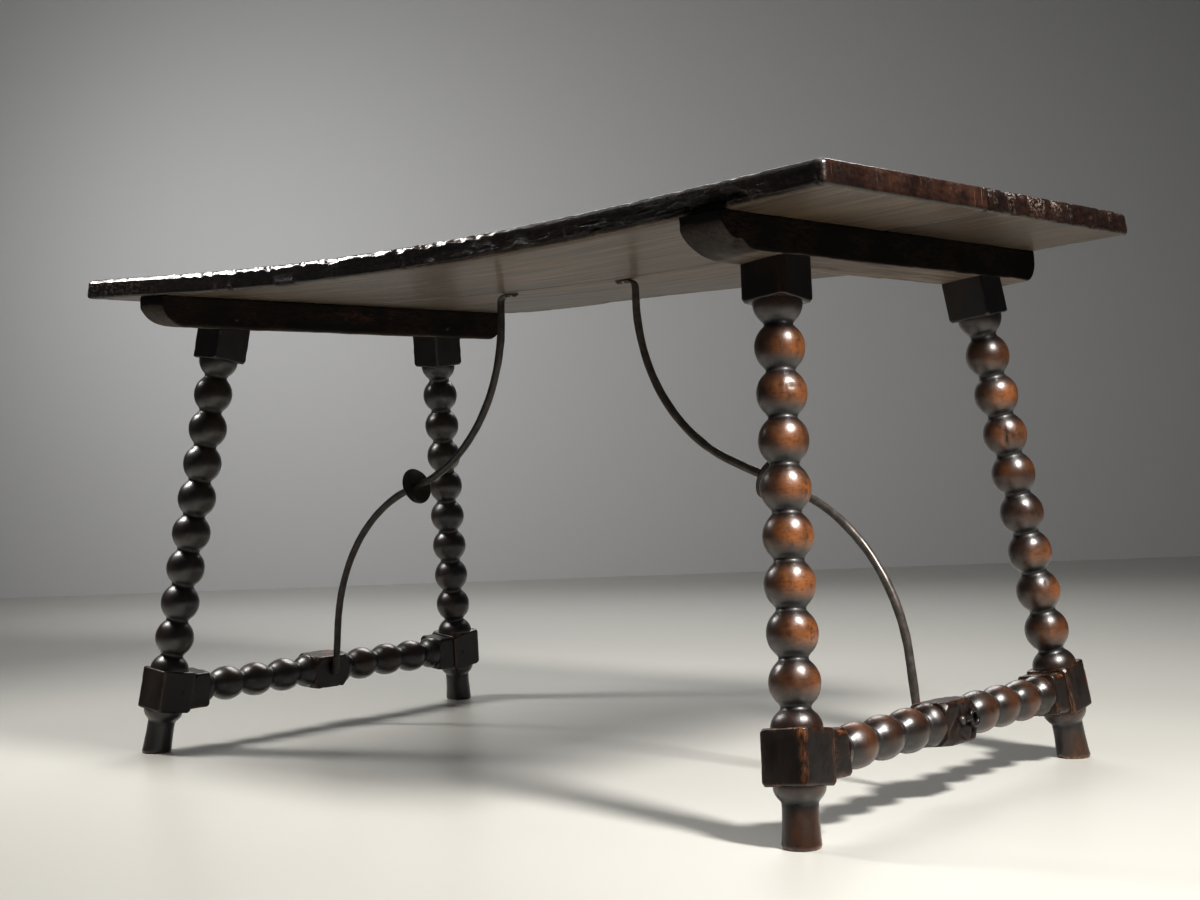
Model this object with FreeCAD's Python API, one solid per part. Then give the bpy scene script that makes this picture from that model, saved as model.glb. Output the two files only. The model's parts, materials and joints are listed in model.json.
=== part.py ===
import FreeCAD, Part
import math
import os

os.makedirs("parts", exist_ok=True)
Vector = FreeCAD.Vector

# The table as a whole, in millimetres and degrees: x along it, y across it, front is -y
top_length = 1420.0
top_width = 750.0
top_thickness = 30.0
table_height = 755.0          # floor to the raised ends of the sagged top
foot_end_margin = 67.0        # from the top's end to the edge of a foot
foot_side_margin = 20.0       # from the top's long edge to the edge of a foot
trestle_lean = 6.7            # degrees that each trestle leans in
leg_splay = 8.4               # degrees that a leg leans within its trestle

# Top boards
seam_offset = 22.0            # the seam lies this far in front of the middle
end_slope = 3.2               # degrees that the straight ends of the top turn up
sag_margin = 38.0             # straight stretch of the top on the inner side of a bearer
board_edge_round = 2.5
seam_dowel_diameter = 10.0
seam_dowel_length = 70.0
seam_dowel_shares = (-0.88, -0.44, 0.0, 0.44, 0.88)     # of the half length

# Bearers
bearer_side_inset = 5.0       # from the top's long edge to the bearer's end
bearer_width = 61.0
bearer_height = 47.0
bearer_front_round = 62.0     # length of the rounding at the front end
bearer_back_round = 34.0
bearer_round_height_share = 0.78
round_middle_share = math.sqrt(0.5)
bearer_nail_shares = (-0.82, -0.4, 0.4, 0.82)           # of the half length

# Legs, from the floor up
foot_length = 46.5
foot_base_diameter = 46.0
foot_neck_diameter = 42.0
foot_flare_share = 0.3        # part of the flare reached at half height
foot_cup_height = 20.5
lower_block_height = 65.0
lower_dome_height = 22.5
leg_ball_count = 8
leg_ball_diameter = 60.0
leg_neck_diameter = 35.0
upper_cup_height = 26.5
upper_block_height = 51.5
leg_square = 62.0
leg_arris = 2.0               # bevel along the corners of the blocks

# Stretchers
stretcher_height = 95.0       # up the trestle from the floor
stretcher_square = 56.0
stretcher_arris = 2.0
stretcher_centre_length = 72.0
stretcher_half_ball_length = 21.0
stretcher_stub_length = 34.0
stretcher_ball_count = 3      # on each side of the centre block
stretcher_ball_diameter = 55.0
stretcher_neck_diameter = 34.0

# Joinery in the wood
leg_tenon_thickness_share = 0.36       # of the leg's square
leg_tenon_width_share = 0.6
leg_tenon_length_share = 0.72          # of the bearer's height
stretcher_tenon_thickness_share = 0.36     # of the stretcher's square
stretcher_tenon_height_share = 0.6
stretcher_tenon_length_share = 0.68        # of the leg's square
peg_diameter = 8.0
peg_depth_share = 0.8         # of the piece that the peg goes into
joint_clearance = 0.2

# Iron stays
stay_diameter = 11.0
stay_top_reach_right = 127.0  # from the middle of the table to the right stay's upper end
stay_top_reach_left = 147.0
stay_run_slope_right = 21.5   # degrees below level, where the right stay passes its collar
stay_run_slope_left = 16.5    # degrees
stay_collar_setback = 260.0   # from the line of the feet in to the collar
stay_collar_height = 403.5
stay_top_straight = 27.0
stay_foot_straight = 72.0
stay_foot_bend = 10.0
stay_standoff = 8.0           # from the centre block's inner face to the middle of the stay
stay_exit_length = 5.0
eye_wire_diameter = 5.6
eye_radius = 9.0
eye_offset = 24.0
lug_length = 38.0
lug_width = 16.0
lug_thickness = 4.0
lug_tip_width_share = 0.55
collar_diameter = 58.0
collar_thickness = 5.0
collar_rim = 2.0
collar_dish = 8.0
collar_bow_share = 0.35       # of the dish, reached half way out

# Forged nails
nail_head_diameter = 13.0
nail_head_height = 4.0
nail_shank = 5.0
nail_tip_share = 0.4          # of the shank
bearer_nail_bite_share = 0.62     # of the bearer's height
lug_nail_shares = (0.42, 0.8)     # of the lug's length
lug_nail_head_diameter = 9.0
lug_nail_head_height = 2.5
lug_nail_shank = 3.5
lug_nail_bite_share = 0.6     # of the top's thickness

cut_overrun = 20.0


# Places that follow from the sizes above
lean = math.radians(trestle_lean)
splay = math.radians(leg_splay)
slope = math.radians(end_slope)
half_length = top_length / 2
half_width = top_width / 2
half_stance = half_length - foot_end_margin - foot_base_diameter / 2
half_depth = half_width - foot_side_margin - foot_base_diameter / 2
half_bearer = half_width - bearer_side_inset
seam_y = -seam_offset
end_low = table_height - top_thickness * math.cos(slope)

under_rise = end_low + (half_stance - half_length) * math.tan(slope)
bearer_top = under_rise / (math.cos(lean) + math.sin(lean) * math.tan(slope))
bearer_bottom = bearer_top - bearer_height
bearer_x = half_stance - bearer_top * math.sin(lean)
leg_length = bearer_bottom / math.cos(splay)
half_span = bearer_x - bearer_width / 2 - sag_margin
under_radius = half_span / math.sin(slope)


def to_world(across, up):
    # point of the right trestle's plane, from its distance outwards and its distance up the trestle
    x = half_stance + across * math.cos(lean) - up * math.sin(lean)
    z = across * math.sin(lean) + up * math.cos(lean)
    return Vector(x, 0, z)


def end_height(x):
    # height of the underside's straight end stretch, or of its extension
    return end_low + (x - half_length) * math.tan(slope)


sag_centre = end_height(half_span) + under_radius * math.cos(slope)


def board_point(x, lift):
    # point at a distance lift above the underside, square to it
    if x <= half_span:
        turn = math.asin(x / under_radius)
        radius = under_radius - lift
        return Vector(radius * math.sin(turn), 0, sag_centre - radius * math.cos(turn))
    return Vector(x - lift * math.sin(slope), 0, end_height(x) + lift * math.cos(slope))


def mirrored(shape):
    return shape.mirror(Vector(0, 0, 0), Vector(1, 0, 0))


def flipped(point):
    return Vector(-point.x, point.y, point.z)


def on_trestle(shape):
    # carry a shape drawn in the trestle's own plane to its lean and place
    placed = shape.copy()
    turn = FreeCAD.Rotation(Vector(0, 1, 0), -trestle_lean)
    placed.Placement = FreeCAD.Placement(to_world(0, 0), turn).multiply(placed.Placement)
    return placed


def on_leg(shape, side):
    # carry a shape drawn along the z axis to a leg's splay and foot; side is -1 in front and 1 behind
    placed = shape.copy()
    turn = FreeCAD.Rotation(Vector(1, 0, 0), side * leg_splay)
    place = FreeCAD.Placement(Vector(0, side * half_depth, 0), turn)
    placed.Placement = place.multiply(placed.Placement)
    return placed


def bar(width, depth, bottom, top, arris=0.0):
    # upright bar centred on the z axis, with bevelled corners where arris is given
    x = width / 2
    y = depth / 2
    if arris:
        corners = [(x - arris, -y), (x, arris - y), (x, y - arris), (x - arris, y),
                   (arris - x, y), (-x, y - arris), (-x, arris - y), (arris - x, -y)]
    else:
        corners = [(x, -y), (x, y), (-x, y), (-x, -y)]
    points = [Vector(a, b, bottom) for a, b in corners]
    outline = Part.makePolygon(points + points[:1])
    return Part.Face(outline).extrude(Vector(0, 0, top - bottom))


def half_bead(big_radius, big_height, small_radius, small_height):
    # arc that leaves its big end parallel to the axis and curves in to its small end
    rise = small_height - big_height
    drop = big_radius - small_radius
    arc_radius = (drop ** 2 + rise ** 2) / (2 * drop)
    turn = math.atan2(abs(rise), arc_radius - drop) / 2
    middle_radius = big_radius - arc_radius * (1 - math.cos(turn))
    middle_height = big_height + math.copysign(arc_radius * math.sin(turn), rise)
    big = Vector(big_radius, 0, big_height)
    middle = Vector(middle_radius, 0, middle_height)
    small = Vector(small_radius, 0, small_height)
    return Part.Arc(big, middle, small).toShape()


def line(start, end):
    return Part.makeLine(start, end)


def profile_point(radius, height):
    return Vector(radius, 0, height)


def turned(edges):
    # solid turned about the z axis from a profile that starts and ends on the axis
    wire = Part.Wire(Part.__sortEdges__(edges))
    return Part.Face(wire).revolve(Vector(0, 0, 0), Vector(0, 0, 1), 360)


def beads(start, pitch, count, ball_radius, neck_radius):
    # profile edges of a row of equal balls, each between two necks
    edges = []
    for number in range(count):
        low = start + number * pitch
        middle = low + pitch / 2
        edges.append(half_bead(ball_radius, middle, neck_radius, low))
        edges.append(half_bead(ball_radius, middle, neck_radius, low + pitch))
    return edges


def rounded_path(corners, radii):
    # wire of straight runs through the corners, joined by tangent arcs of the given radii
    edges = []
    start = corners[0]
    for before, corner, after, radius in zip(corners, corners[1:], corners[2:], radii):
        back = (before - corner).normalize()
        ahead = (after - corner).normalize()
        half_turn = (math.pi - back.getAngle(ahead)) / 2
        reach = radius * math.tan(half_turn)
        inward = (back + ahead).normalize()
        middle = corner + inward * (radius / math.cos(half_turn) - radius)
        edges.append(line(start, corner + back * reach))
        edges.append(Part.Arc(corner + back * reach, middle, corner + ahead * reach).toShape())
        start = corner + ahead * reach
    edges.append(line(start, corners[-1]))
    return Part.Wire(edges)


def pipe(path, diameter):
    start = path.Edges[0]
    tangent = start.tangentAt(start.FirstParameter)
    circle = Part.makeCircle(diameter / 2, start.valueAt(start.FirstParameter), tangent)
    return path.makePipeShell([Part.Wire(circle)], True, True)


def cylinder(diameter, start, end):
    return Part.makeCylinder(diameter / 2, (end - start).Length, start, end - start)


def nail(point, direction, shank, head_diameter, head_height, length, grow=0.0):
    # tapered square nail whose head tops out at the point; grow makes the hole for it
    head = Part.makeCone(head_diameter / 2 + grow, shank / 2 + grow, head_height)
    near = shank / 2 + grow
    far = shank * nail_tip_share / 2 + grow
    rings = []
    for half, height in ((near, 0.0), (far, length + grow)):
        corners = [Vector(half, -half, height), Vector(half, half, height),
                   Vector(-half, half, height), Vector(-half, -half, height)]
        rings.append(Part.makePolygon(corners + corners[:1]))
    shape = head.fuse(Part.makeLoft(rings, True, True))
    turn = FreeCAD.Rotation(Vector(0, 0, 1), direction)
    shape.Placement = FreeCAD.Placement(point, turn)
    return shape


# Legs and the holes that go with them, in the plane of an upright trestle
ball_radius = leg_ball_diameter / 2
neck_radius = leg_neck_diameter / 2
block_low = foot_length + foot_cup_height
block_high = block_low + lower_block_height
first_neck = block_high + lower_dome_height
shoulder = leg_length - upper_block_height
last_neck = shoulder - upper_cup_height
leg_ball_pitch = (last_neck - first_neck) / leg_ball_count
leg_tenon_length = leg_tenon_length_share * bearer_height
leg_tenon_thickness = leg_tenon_thickness_share * leg_square
leg_tenon_width = leg_tenon_width_share * leg_square


def turned_leg():
    base = foot_base_diameter / 2
    neck = foot_neck_diameter / 2
    waist = neck + foot_flare_share * (base - neck)
    foot_top = profile_point(neck, foot_length)
    foot_curve = Part.Arc(profile_point(base, 0), profile_point(waist, foot_length / 2), foot_top)
    edges = [
        line(profile_point(0, -cut_overrun), profile_point(base, -cut_overrun)),
        line(profile_point(base, -cut_overrun), profile_point(base, 0)),
        foot_curve.toShape(),
        half_bead(ball_radius, block_low, neck, foot_length),
        line(profile_point(ball_radius, block_low), profile_point(ball_radius, block_high)),
        half_bead(ball_radius, block_high, neck_radius, first_neck),
    ]
    edges += beads(first_neck, leg_ball_pitch, leg_ball_count, ball_radius, neck_radius)
    edges += [
        half_bead(ball_radius, shoulder, neck_radius, last_neck),
        line(profile_point(ball_radius, shoulder), profile_point(0, shoulder)),
        line(profile_point(0, shoulder), profile_point(0, -cut_overrun)),
    ]
    lower_block = bar(leg_square, leg_square, block_low, block_high, leg_arris)
    upper_block = bar(leg_square, leg_square, shoulder, leg_length + cut_overrun, leg_arris)
    return turned(edges).fuse([lower_block, upper_block])


def leg_tenon(grow=0.0):
    # tenon along the leg's axis; grow makes the mortise for it
    thickness = leg_tenon_thickness + 2 * grow
    width = leg_tenon_width + 2 * grow
    return bar(thickness, width, shoulder, leg_length + leg_tenon_length + grow)


def leg_axis_y(up):
    # distance of the leg's axis from the middle of the trestle
    return half_depth - up * math.tan(splay)


def across_peg(side, y, up, width, grow=0.0):
    # peg driven square into the trestle's inner face, on the line at this height
    start = Vector(-width / 2, side * y, up)
    end = start + Vector(peg_depth_share * width + grow, 0, 0)
    return cylinder(peg_diameter + 2 * grow, start, end)


leg_peg_up = bearer_bottom + leg_tenon_length * math.cos(splay) / 2
leg_peg_y = leg_axis_y(leg_peg_up)
stub_face_y = leg_axis_y(stretcher_height) - leg_square / 2 / math.cos(splay)
stretcher_tenon_length = stretcher_tenon_length_share * leg_square
stretcher_peg_y = stub_face_y + stretcher_tenon_length / 2


def leg_pegs(grow=0.0):
    return [across_peg(side, leg_peg_y, leg_peg_up, bearer_width, grow) for side in (-1, 1)]


def stretcher_pegs(grow=0.0):
    return [across_peg(side, stretcher_peg_y, stretcher_height, leg_square, grow) for side in (-1, 1)]


def stretcher_tenon(side, grow=0.0):
    # level tenon from the stub into the leg's lower block
    thickness = stretcher_tenon_thickness_share * stretcher_square + 2 * grow
    height = stretcher_tenon_height_share * stretcher_square + 2 * grow
    length = stretcher_tenon_length + grow
    low = Vector(-thickness / 2, stub_face_y - stretcher_stub_length / 2, stretcher_height - height / 2)
    block = Part.makeBox(thickness, length + stretcher_stub_length / 2, height, low)
    if side < 0:
        return block.mirror(Vector(0, 0, 0), Vector(0, 1, 0))
    return block


def leg(side):
    above = Part.makeBox(top_width, top_width, leg_length,
                         Vector(-half_width, -half_width, bearer_bottom))
    shape = on_leg(turned_leg(), side).cut(above)
    shape = shape.fuse(on_leg(leg_tenon(), side))
    shape = shape.cut([stretcher_tenon(side, joint_clearance)])
    shape = shape.cut(leg_pegs(joint_clearance) + stretcher_pegs(joint_clearance))
    below = Part.makeBox(2 * top_length, 2 * top_width, leg_length,
                         Vector(-top_length, -top_width, -leg_length))
    return on_trestle(shape).cut(below).removeSplitter()


# Bearer under one end of the top
def bearer_outline():
    rise = bearer_round_height_share * bearer_height
    front = -half_bearer
    back = half_bearer
    tip = bearer_bottom + rise
    top = bearer_top + cut_overrun
    spare = 1 - round_middle_share

    def corner(y, up):
        return Vector(0, y, up)

    front_middle = corner(front + spare * bearer_front_round, bearer_bottom + spare * rise)
    back_middle = corner(back - spare * bearer_back_round, bearer_bottom + spare * rise)
    front_flat = corner(front + bearer_front_round, bearer_bottom)
    back_flat = corner(back - bearer_back_round, bearer_bottom)
    return Part.Wire([
        line(corner(front, top), corner(front, tip)),
        Part.Arc(corner(front, tip), front_middle, front_flat).toShape(),
        line(front_flat, back_flat),
        Part.Arc(back_flat, back_middle, corner(back, tip)).toShape(),
        line(corner(back, tip), corner(back, top)),
        line(corner(back, top), corner(front, top)),
    ])


board_up = Vector(-math.sin(slope), 0, math.cos(slope))


def bearer_nails(grow=0.0):
    length = top_thickness + bearer_nail_bite_share * bearer_height
    seat = board_point(bearer_x, top_thickness)
    nails = []
    for share in bearer_nail_shares:
        point = seat + Vector(0, share * half_bearer, 0)
        nails.append(nail(point, board_up * -1, nail_shank, nail_head_diameter,
                          nail_head_height, length, grow))
    return nails


def bearer():
    blank = Part.Face(bearer_outline()).extrude(Vector(bearer_width, 0, 0))
    blank.translate(Vector(-bearer_width / 2, 0, 0))
    mortises = [on_leg(leg_tenon(joint_clearance), side) for side in (-1, 1)]
    shape = on_trestle(blank.cut(mortises + leg_pegs(joint_clearance)))
    above = Part.makeBox(top_length, 2 * top_width, table_height, Vector(-half_length, -top_width, 0))
    above.Placement = FreeCAD.Placement(
        board_point(bearer_x, 0), FreeCAD.Rotation(Vector(0, 1, 0), -end_slope)).multiply(above.Placement)
    return shape.cut(above).cut(bearer_nails(joint_clearance)).removeSplitter()


# Stay in the middle plane of the table, drawn on the right; the left one mirrors its own shape
stay_across = -stretcher_square / 2 - stay_standoff
collar_place = Vector(half_stance - stay_collar_setback, 0, stay_collar_height)


def stay_path(top_reach, run_slope):
    top = board_point(top_reach, -joint_clearance)
    reach = collar_place.x - top.x
    upper = Vector(top.x, 0, collar_place.z + reach * math.tan(run_slope))
    edge = to_world(stay_across, 0)
    fall = collar_place.z - edge.z - (edge.x - collar_place.x) * math.tan(run_slope)
    corner_up = fall / (math.cos(lean) - math.sin(lean) * math.tan(run_slope))
    lower = to_world(stay_across, corner_up)
    foot = to_world(stay_across, stretcher_height)
    end = to_world(stretcher_square / 2 + stay_exit_length, stretcher_height)
    upper_reach = min(top.z - upper.z - stay_top_straight,
                      (collar_place - upper).Length - collar_thickness)
    lower_reach = min((lower - foot).Length - stay_foot_bend - stay_foot_straight,
                      (lower - collar_place).Length - collar_thickness)
    upper_turn = math.pi / 2 - run_slope
    lower_turn = math.pi / 2 - run_slope - lean
    radii = [upper_reach / math.tan(upper_turn / 2), lower_reach / math.tan(lower_turn / 2),
             stay_foot_bend]
    return rounded_path([top, upper, lower, foot, end], radii)


def lug(top_reach):
    # flattened end of the bar, lying along the underside towards the middle of the table
    top = board_point(top_reach, -joint_clearance)
    root = lug_width / 2
    tip = root * lug_tip_width_share
    heel = stay_diameter / 2
    points = [Vector(heel, -root, 0), Vector(heel, root, 0), Vector(-lug_length, tip, 0),
              Vector(-lug_length, -tip, 0)]
    plate = Part.Face(Part.makePolygon(points + points[:1])).extrude(Vector(0, 0, -lug_thickness))
    turn = -math.degrees(math.asin((top_reach - lug_length / 2) / under_radius))
    plate.Placement = FreeCAD.Placement(top, FreeCAD.Rotation(Vector(0, 1, 0), turn))
    return plate


def lug_nails(top_reach, grow=0.0):
    length = lug_thickness + lug_nail_head_height + lug_nail_bite_share * top_thickness
    nails = []
    for share in lug_nail_shares:
        x = top_reach - share * lug_length
        inward = (board_point(x, top_thickness) - board_point(x, 0)).normalize()
        point = board_point(x, 0) - inward * (lug_thickness + lug_nail_head_height + 2 * joint_clearance)
        nails.append(nail(point, inward, lug_nail_shank, lug_nail_head_diameter,
                          lug_nail_head_height, length, grow))
    return nails


def stay(top_reach, run_slope):
    rod = pipe(stay_path(top_reach, run_slope), stay_diameter)
    out = stretcher_square / 2 + eye_wire_diameter / 2 + joint_clearance
    heart = to_world(out, stretcher_height)
    across = to_world(1, 0) - to_world(0, 0)
    centre = heart + Vector(0, eye_offset, 0)
    eye = Part.makeTorus(eye_radius, eye_wire_diameter / 2, centre, across)
    bridge = cylinder(eye_wire_diameter, heart, centre - Vector(0, eye_radius, 0))
    shape = rod.fuse([eye, bridge, lug(top_reach)])
    return shape.cut(lug_nails(top_reach, joint_clearance)).removeSplitter()


def collar(run_slope):
    inner = stay_diameter / 2 + joint_clearance
    outer = collar_diameter / 2
    half_way = (inner + outer) / 2
    bow = collar_bow_share * collar_dish
    low = Part.Arc(profile_point(inner, 0), profile_point(half_way, bow), profile_point(outer, collar_dish))
    rim_top = collar_dish + collar_rim
    middle_top = bow + (collar_thickness + collar_rim) / 2
    high = Part.Arc(profile_point(inner, collar_thickness), profile_point(half_way, middle_top),
                    profile_point(outer, rim_top))
    edges = [low.toShape(), line(profile_point(outer, collar_dish), profile_point(outer, rim_top)),
             high.toShape(), line(profile_point(inner, collar_thickness), profile_point(inner, 0))]
    shape = turned(edges)
    run_ahead = Vector(math.cos(run_slope), 0, -math.sin(run_slope))
    turn = FreeCAD.Rotation(Vector(0, 0, 1), run_ahead * -1)
    shape.Placement = FreeCAD.Placement(collar_place + run_ahead * (collar_thickness / 2), turn)
    return shape


# Stretcher between the two legs of a trestle
def stretcher(stay_line):
    big = stretcher_ball_diameter / 2
    neck = stretcher_neck_diameter / 2
    block_end = stretcher_centre_length / 2
    first = block_end + stretcher_half_ball_length
    stub_end = stub_face_y - stretcher_stub_length
    last = stub_end - stretcher_half_ball_length
    pitch = (last - first) / stretcher_ball_count
    edges = [line(profile_point(0, 0), profile_point(big, 0)),
             line(profile_point(big, 0), profile_point(big, block_end)),
             half_bead(big, block_end, neck, first)]
    edges += beads(first, pitch, stretcher_ball_count, big, neck)
    edges += [half_bead(big, stub_end, neck, last),
              line(profile_point(big, stub_end), profile_point(0, stub_end)),
              line(profile_point(0, stub_end), profile_point(0, 0))]
    stub = bar(stretcher_square, stretcher_square, stub_end, half_depth, stretcher_arris)
    half = turned(edges).fuse(stub)
    centre = bar(stretcher_square, stretcher_square, -block_end, block_end, stretcher_arris)
    whole = half.fuse([half.mirror(Vector(0, 0, 0), Vector(0, 0, 1)), centre])
    whole.Placement = FreeCAD.Placement(
        Vector(0, 0, stretcher_height), FreeCAD.Rotation(Vector(1, 0, 0), -90))
    for side in (-1, 1):
        beyond = Part.makeBox(top_width, top_width, 2 * leg_length,
                              Vector(-half_width, -leg_square / 2, -leg_length))
        if side < 0:
            beyond = beyond.mirror(Vector(0, 0, 0), Vector(0, 1, 0))
        whole = whole.cut(on_leg(beyond, side))
    whole = whole.fuse([stretcher_tenon(-1), stretcher_tenon(1)])
    whole = on_trestle(whole.cut(stretcher_pegs(joint_clearance)))
    return whole.cut(pipe(stay_line, stay_diameter + 2 * joint_clearance)).removeSplitter()


# Boards of the top
def top_outline():
    under = [board_point(half_length, 0), board_point(half_span, 0), board_point(0, 0)]
    over = [board_point(half_length, top_thickness), board_point(half_span, top_thickness),
            board_point(0, top_thickness)]
    edges = []
    for end, bend, middle in (under, over):
        edges.append(line(flipped(end), flipped(bend)))
        edges.append(Part.Arc(flipped(bend), middle, bend).toShape())
        edges.append(line(bend, end))
    edges.append(line(under[0], over[0]))
    edges.append(line(flipped(under[0]), flipped(over[0])))
    return Part.Wire(Part.__sortEdges__(edges))


def seam_dowels(grow=0.0):
    dowels = []
    for share in seam_dowel_shares:
        middle = board_point(abs(share) * half_length, top_thickness / 2)
        if share < 0:
            middle = flipped(middle)
        middle = middle + Vector(0, seam_y, 0)
        reach = Vector(0, seam_dowel_length / 2 + grow, 0)
        dowels.append(cylinder(seam_dowel_diameter + 2 * grow, middle - reach, middle + reach))
    return dowels


def board(near, far, outer):
    # board between two distances from the middle, its edges softened except along the seam
    blank = Part.Face(top_outline()).extrude(Vector(0, far - near, 0))
    blank.translate(Vector(0, near, 0))
    edges = []
    for edge in blank.Edges:
        box = edge.BoundBox
        if abs(box.YMin - outer) < board_edge_round and abs(box.YMax - outer) < board_edge_round:
            edges.append(edge)
    shape = blank.makeFillet(board_edge_round, edges)
    right_holes = bearer_nails(joint_clearance) + lug_nails(stay_top_reach_right, joint_clearance)
    left_holes = bearer_nails(joint_clearance) + lug_nails(stay_top_reach_left, joint_clearance)
    holes = right_holes + [mirrored(hole) for hole in left_holes]
    return shape.cut(holes + seam_dowels(joint_clearance)).removeSplitter()


def group(shapes):
    return Part.makeCompound(shapes)


def trestle(top_reach, stay_slope):
    # pieces of one trestle and its stay, drawn on the right
    run_slope = math.radians(stay_slope)
    return {
        "bearer": bearer(),
        "leg_front": leg(-1),
        "leg_back": leg(1),
        "stretcher": stretcher(stay_path(top_reach, run_slope)),
        "iron_stay": stay(top_reach, run_slope),
        "stay_collar": collar(run_slope),
        "bearer_nails": group(bearer_nails()),
        "stay_lug_nails": group(lug_nails(top_reach)),
        "leg_tenon_pegs": group([on_trestle(peg) for peg in leg_pegs()]),
        "stretcher_tenon_pegs": group([on_trestle(peg) for peg in stretcher_pegs()]),
    }


# Every piece by its name; the left trestle mirrors the right one, with its own stay
pieces = {
    "top_board_front": board(-half_width, seam_y, -half_width),
    "top_board_back": board(seam_y, half_width, half_width),
    "top_seam_dowels": group(seam_dowels()),
}
for name, shape in trestle(stay_top_reach_right, stay_run_slope_right).items():
    pieces[name + "_right"] = shape
for name, shape in trestle(stay_top_reach_left, stay_run_slope_left).items():
    pieces[name + "_left"] = mirrored(shape)

for name, shape in pieces.items():
    shape.exportStep("parts/" + name + ".step")
    print(name, len(shape.Solids), "solids", round(shape.Volume), "mm3", "valid", shape.isValid())
print("leg ball pitch", round(leg_ball_pitch, 2), "leg length", round(leg_length, 1))
print("bearer centre", round(bearer_x, 1), "sagged span", round(2 * half_span, 1))
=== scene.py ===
import json
import math
import bpy
import numpy as np
from mathutils import Matrix, Vector


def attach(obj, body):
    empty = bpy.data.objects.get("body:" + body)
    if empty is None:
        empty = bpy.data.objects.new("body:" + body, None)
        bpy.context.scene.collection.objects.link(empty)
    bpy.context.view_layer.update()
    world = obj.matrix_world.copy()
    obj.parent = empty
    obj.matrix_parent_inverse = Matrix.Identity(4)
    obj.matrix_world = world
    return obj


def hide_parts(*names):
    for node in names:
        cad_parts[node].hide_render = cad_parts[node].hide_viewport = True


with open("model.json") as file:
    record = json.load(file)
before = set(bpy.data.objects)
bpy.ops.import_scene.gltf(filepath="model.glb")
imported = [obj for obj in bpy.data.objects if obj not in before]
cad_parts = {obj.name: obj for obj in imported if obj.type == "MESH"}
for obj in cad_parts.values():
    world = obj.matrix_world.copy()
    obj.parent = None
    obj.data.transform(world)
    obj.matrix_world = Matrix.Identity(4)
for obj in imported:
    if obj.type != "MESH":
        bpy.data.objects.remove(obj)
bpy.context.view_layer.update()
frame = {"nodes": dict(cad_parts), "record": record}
print("frame loaded, nodes:", len(frame["nodes"]))

mm = 0.001
tiny = 1e-9

# the table's main sizes, in millimetres and degrees
table = {
    "topLength": 1420, "topWidth": 750, "topThickness": 30, "height": 755, "seamOffset": 22,
    "endSlope": 3.2, "sagMargin": 38, "bearerWidth": 61, "bearerHeight": 47, "bearerInset": 5,
    "footX": 620, "footY": 332, "lean": 6.7, "splay": 8.4,
}
halfLength = table["topLength"] / 2 * mm
halfWidth = table["topWidth"] / 2 * mm
thickness = table["topThickness"] * mm
footX = table["footX"] * mm
footY = table["footY"] * mm
lean = math.radians(table["lean"])
splay = math.radians(table["splay"])
endSlope = math.radians(table["endSlope"])
seamY = -table["seamOffset"] * mm

# where the underside, the bearers and the sagged stretch lie
endLow = table["height"] * mm - thickness * math.cos(endSlope)
underRise = endLow + (footX - halfLength) * math.tan(endSlope)
leanRise = math.cos(lean) + math.sin(lean) * math.tan(endSlope)
bearerTop = underRise / leanRise
bearerBottom = bearerTop - table["bearerHeight"] * mm
bearerX = footX - bearerTop * math.sin(lean)
bearerHalf = halfWidth - table["bearerInset"] * mm
halfSpan = bearerX - (table["bearerWidth"] / 2 + table["sagMargin"]) * mm
sagRadius = halfSpan / math.sin(endSlope)
sagCentre = endLow + (halfSpan - halfLength) * math.tan(endSlope) + sagRadius * math.cos(endSlope)
legLength = bearerBottom / math.cos(splay)


def inMetres(sizes):
    # the plain numbers of a piece's dictionary, from millimetres
    return {k: v * mm for k, v in sizes.items() if isinstance(v, (int, float))}


def smooth(low, high, x):
    # 0 at low, 1 at high, an S curve between; it falls where low is the greater
    t = np.clip((x - low) / (high - low), 0, 1)
    return t * t * (3 - 2 * t)


def bell(x, centre, width):
    return np.exp(-((x - centre) / width) ** 2)


def fade(distance, reach):
    # 1 at an edge, falling off with the distance; the reach is in millimetres
    return np.exp(-np.maximum(distance, 0) / (reach * mm))


def gridValue(i, j, k, seed):
    # one fixed random value from -1 to 1 for each whole-number point: large odd numbers scatter its bits
    h = (i * 73856093) ^ (j * 19349663) ^ (k * 83492791) ^ (seed * 265443576)
    h = (h ^ (h >> 13)) * 127412617
    h = (h ^ (h >> 15)) * 97531
    return ((h >> 7) & 0xFFFF) / 32767.5 - 1


def noise(points, scale, seed=0):
    # random values on a cubic grid, blended between its corners with an S curve
    p = np.asarray(points, float) * scale
    base = np.floor(p).astype(np.int64)
    f = p - base
    f = f * f * (3 - 2 * f)
    total = 0
    for corner in range(8):
        c = np.array([corner & 1, corner >> 1 & 1, corner >> 2 & 1])
        weight = np.prod(np.where(c, f, 1 - f), axis=-1)
        q = base + c
        total = total + weight * gridValue(q[..., 0], q[..., 1], q[..., 2], seed)
    return total


def rough(points, scale, octaves=3, seed=0):
    # layers of noise, each twice as fine and half as strong, brought back to about -1 to 1
    scale = np.asarray(scale, float)
    layers = [noise(points, scale * 2 ** n, seed + n * 17) / 2 ** n for n in range(octaves)]
    return sum(layers) / 1.6


def onLine(d):
    # places for noise that changes in one direction only
    return np.stack([d, 0 * d, 0 * d], -1)


def peaks(values, level):
    # what stands above a level
    return np.maximum(values - level, 0)


def between(span, x):
    # the S curve over a span that a dictionary gives in millimetres
    return smooth(span[0] * mm, span[1] * mm, x)


def onTrestle(side, across, y, up):
    # the leaning plane of a leg frame: across is outwards, up follows the lean
    x = side * (footX + across * math.cos(lean) - up * math.sin(lean))
    z = across * math.sin(lean) + up * math.cos(lean)
    return np.stack(np.broadcast_arrays(x, y, z), -1)


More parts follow.
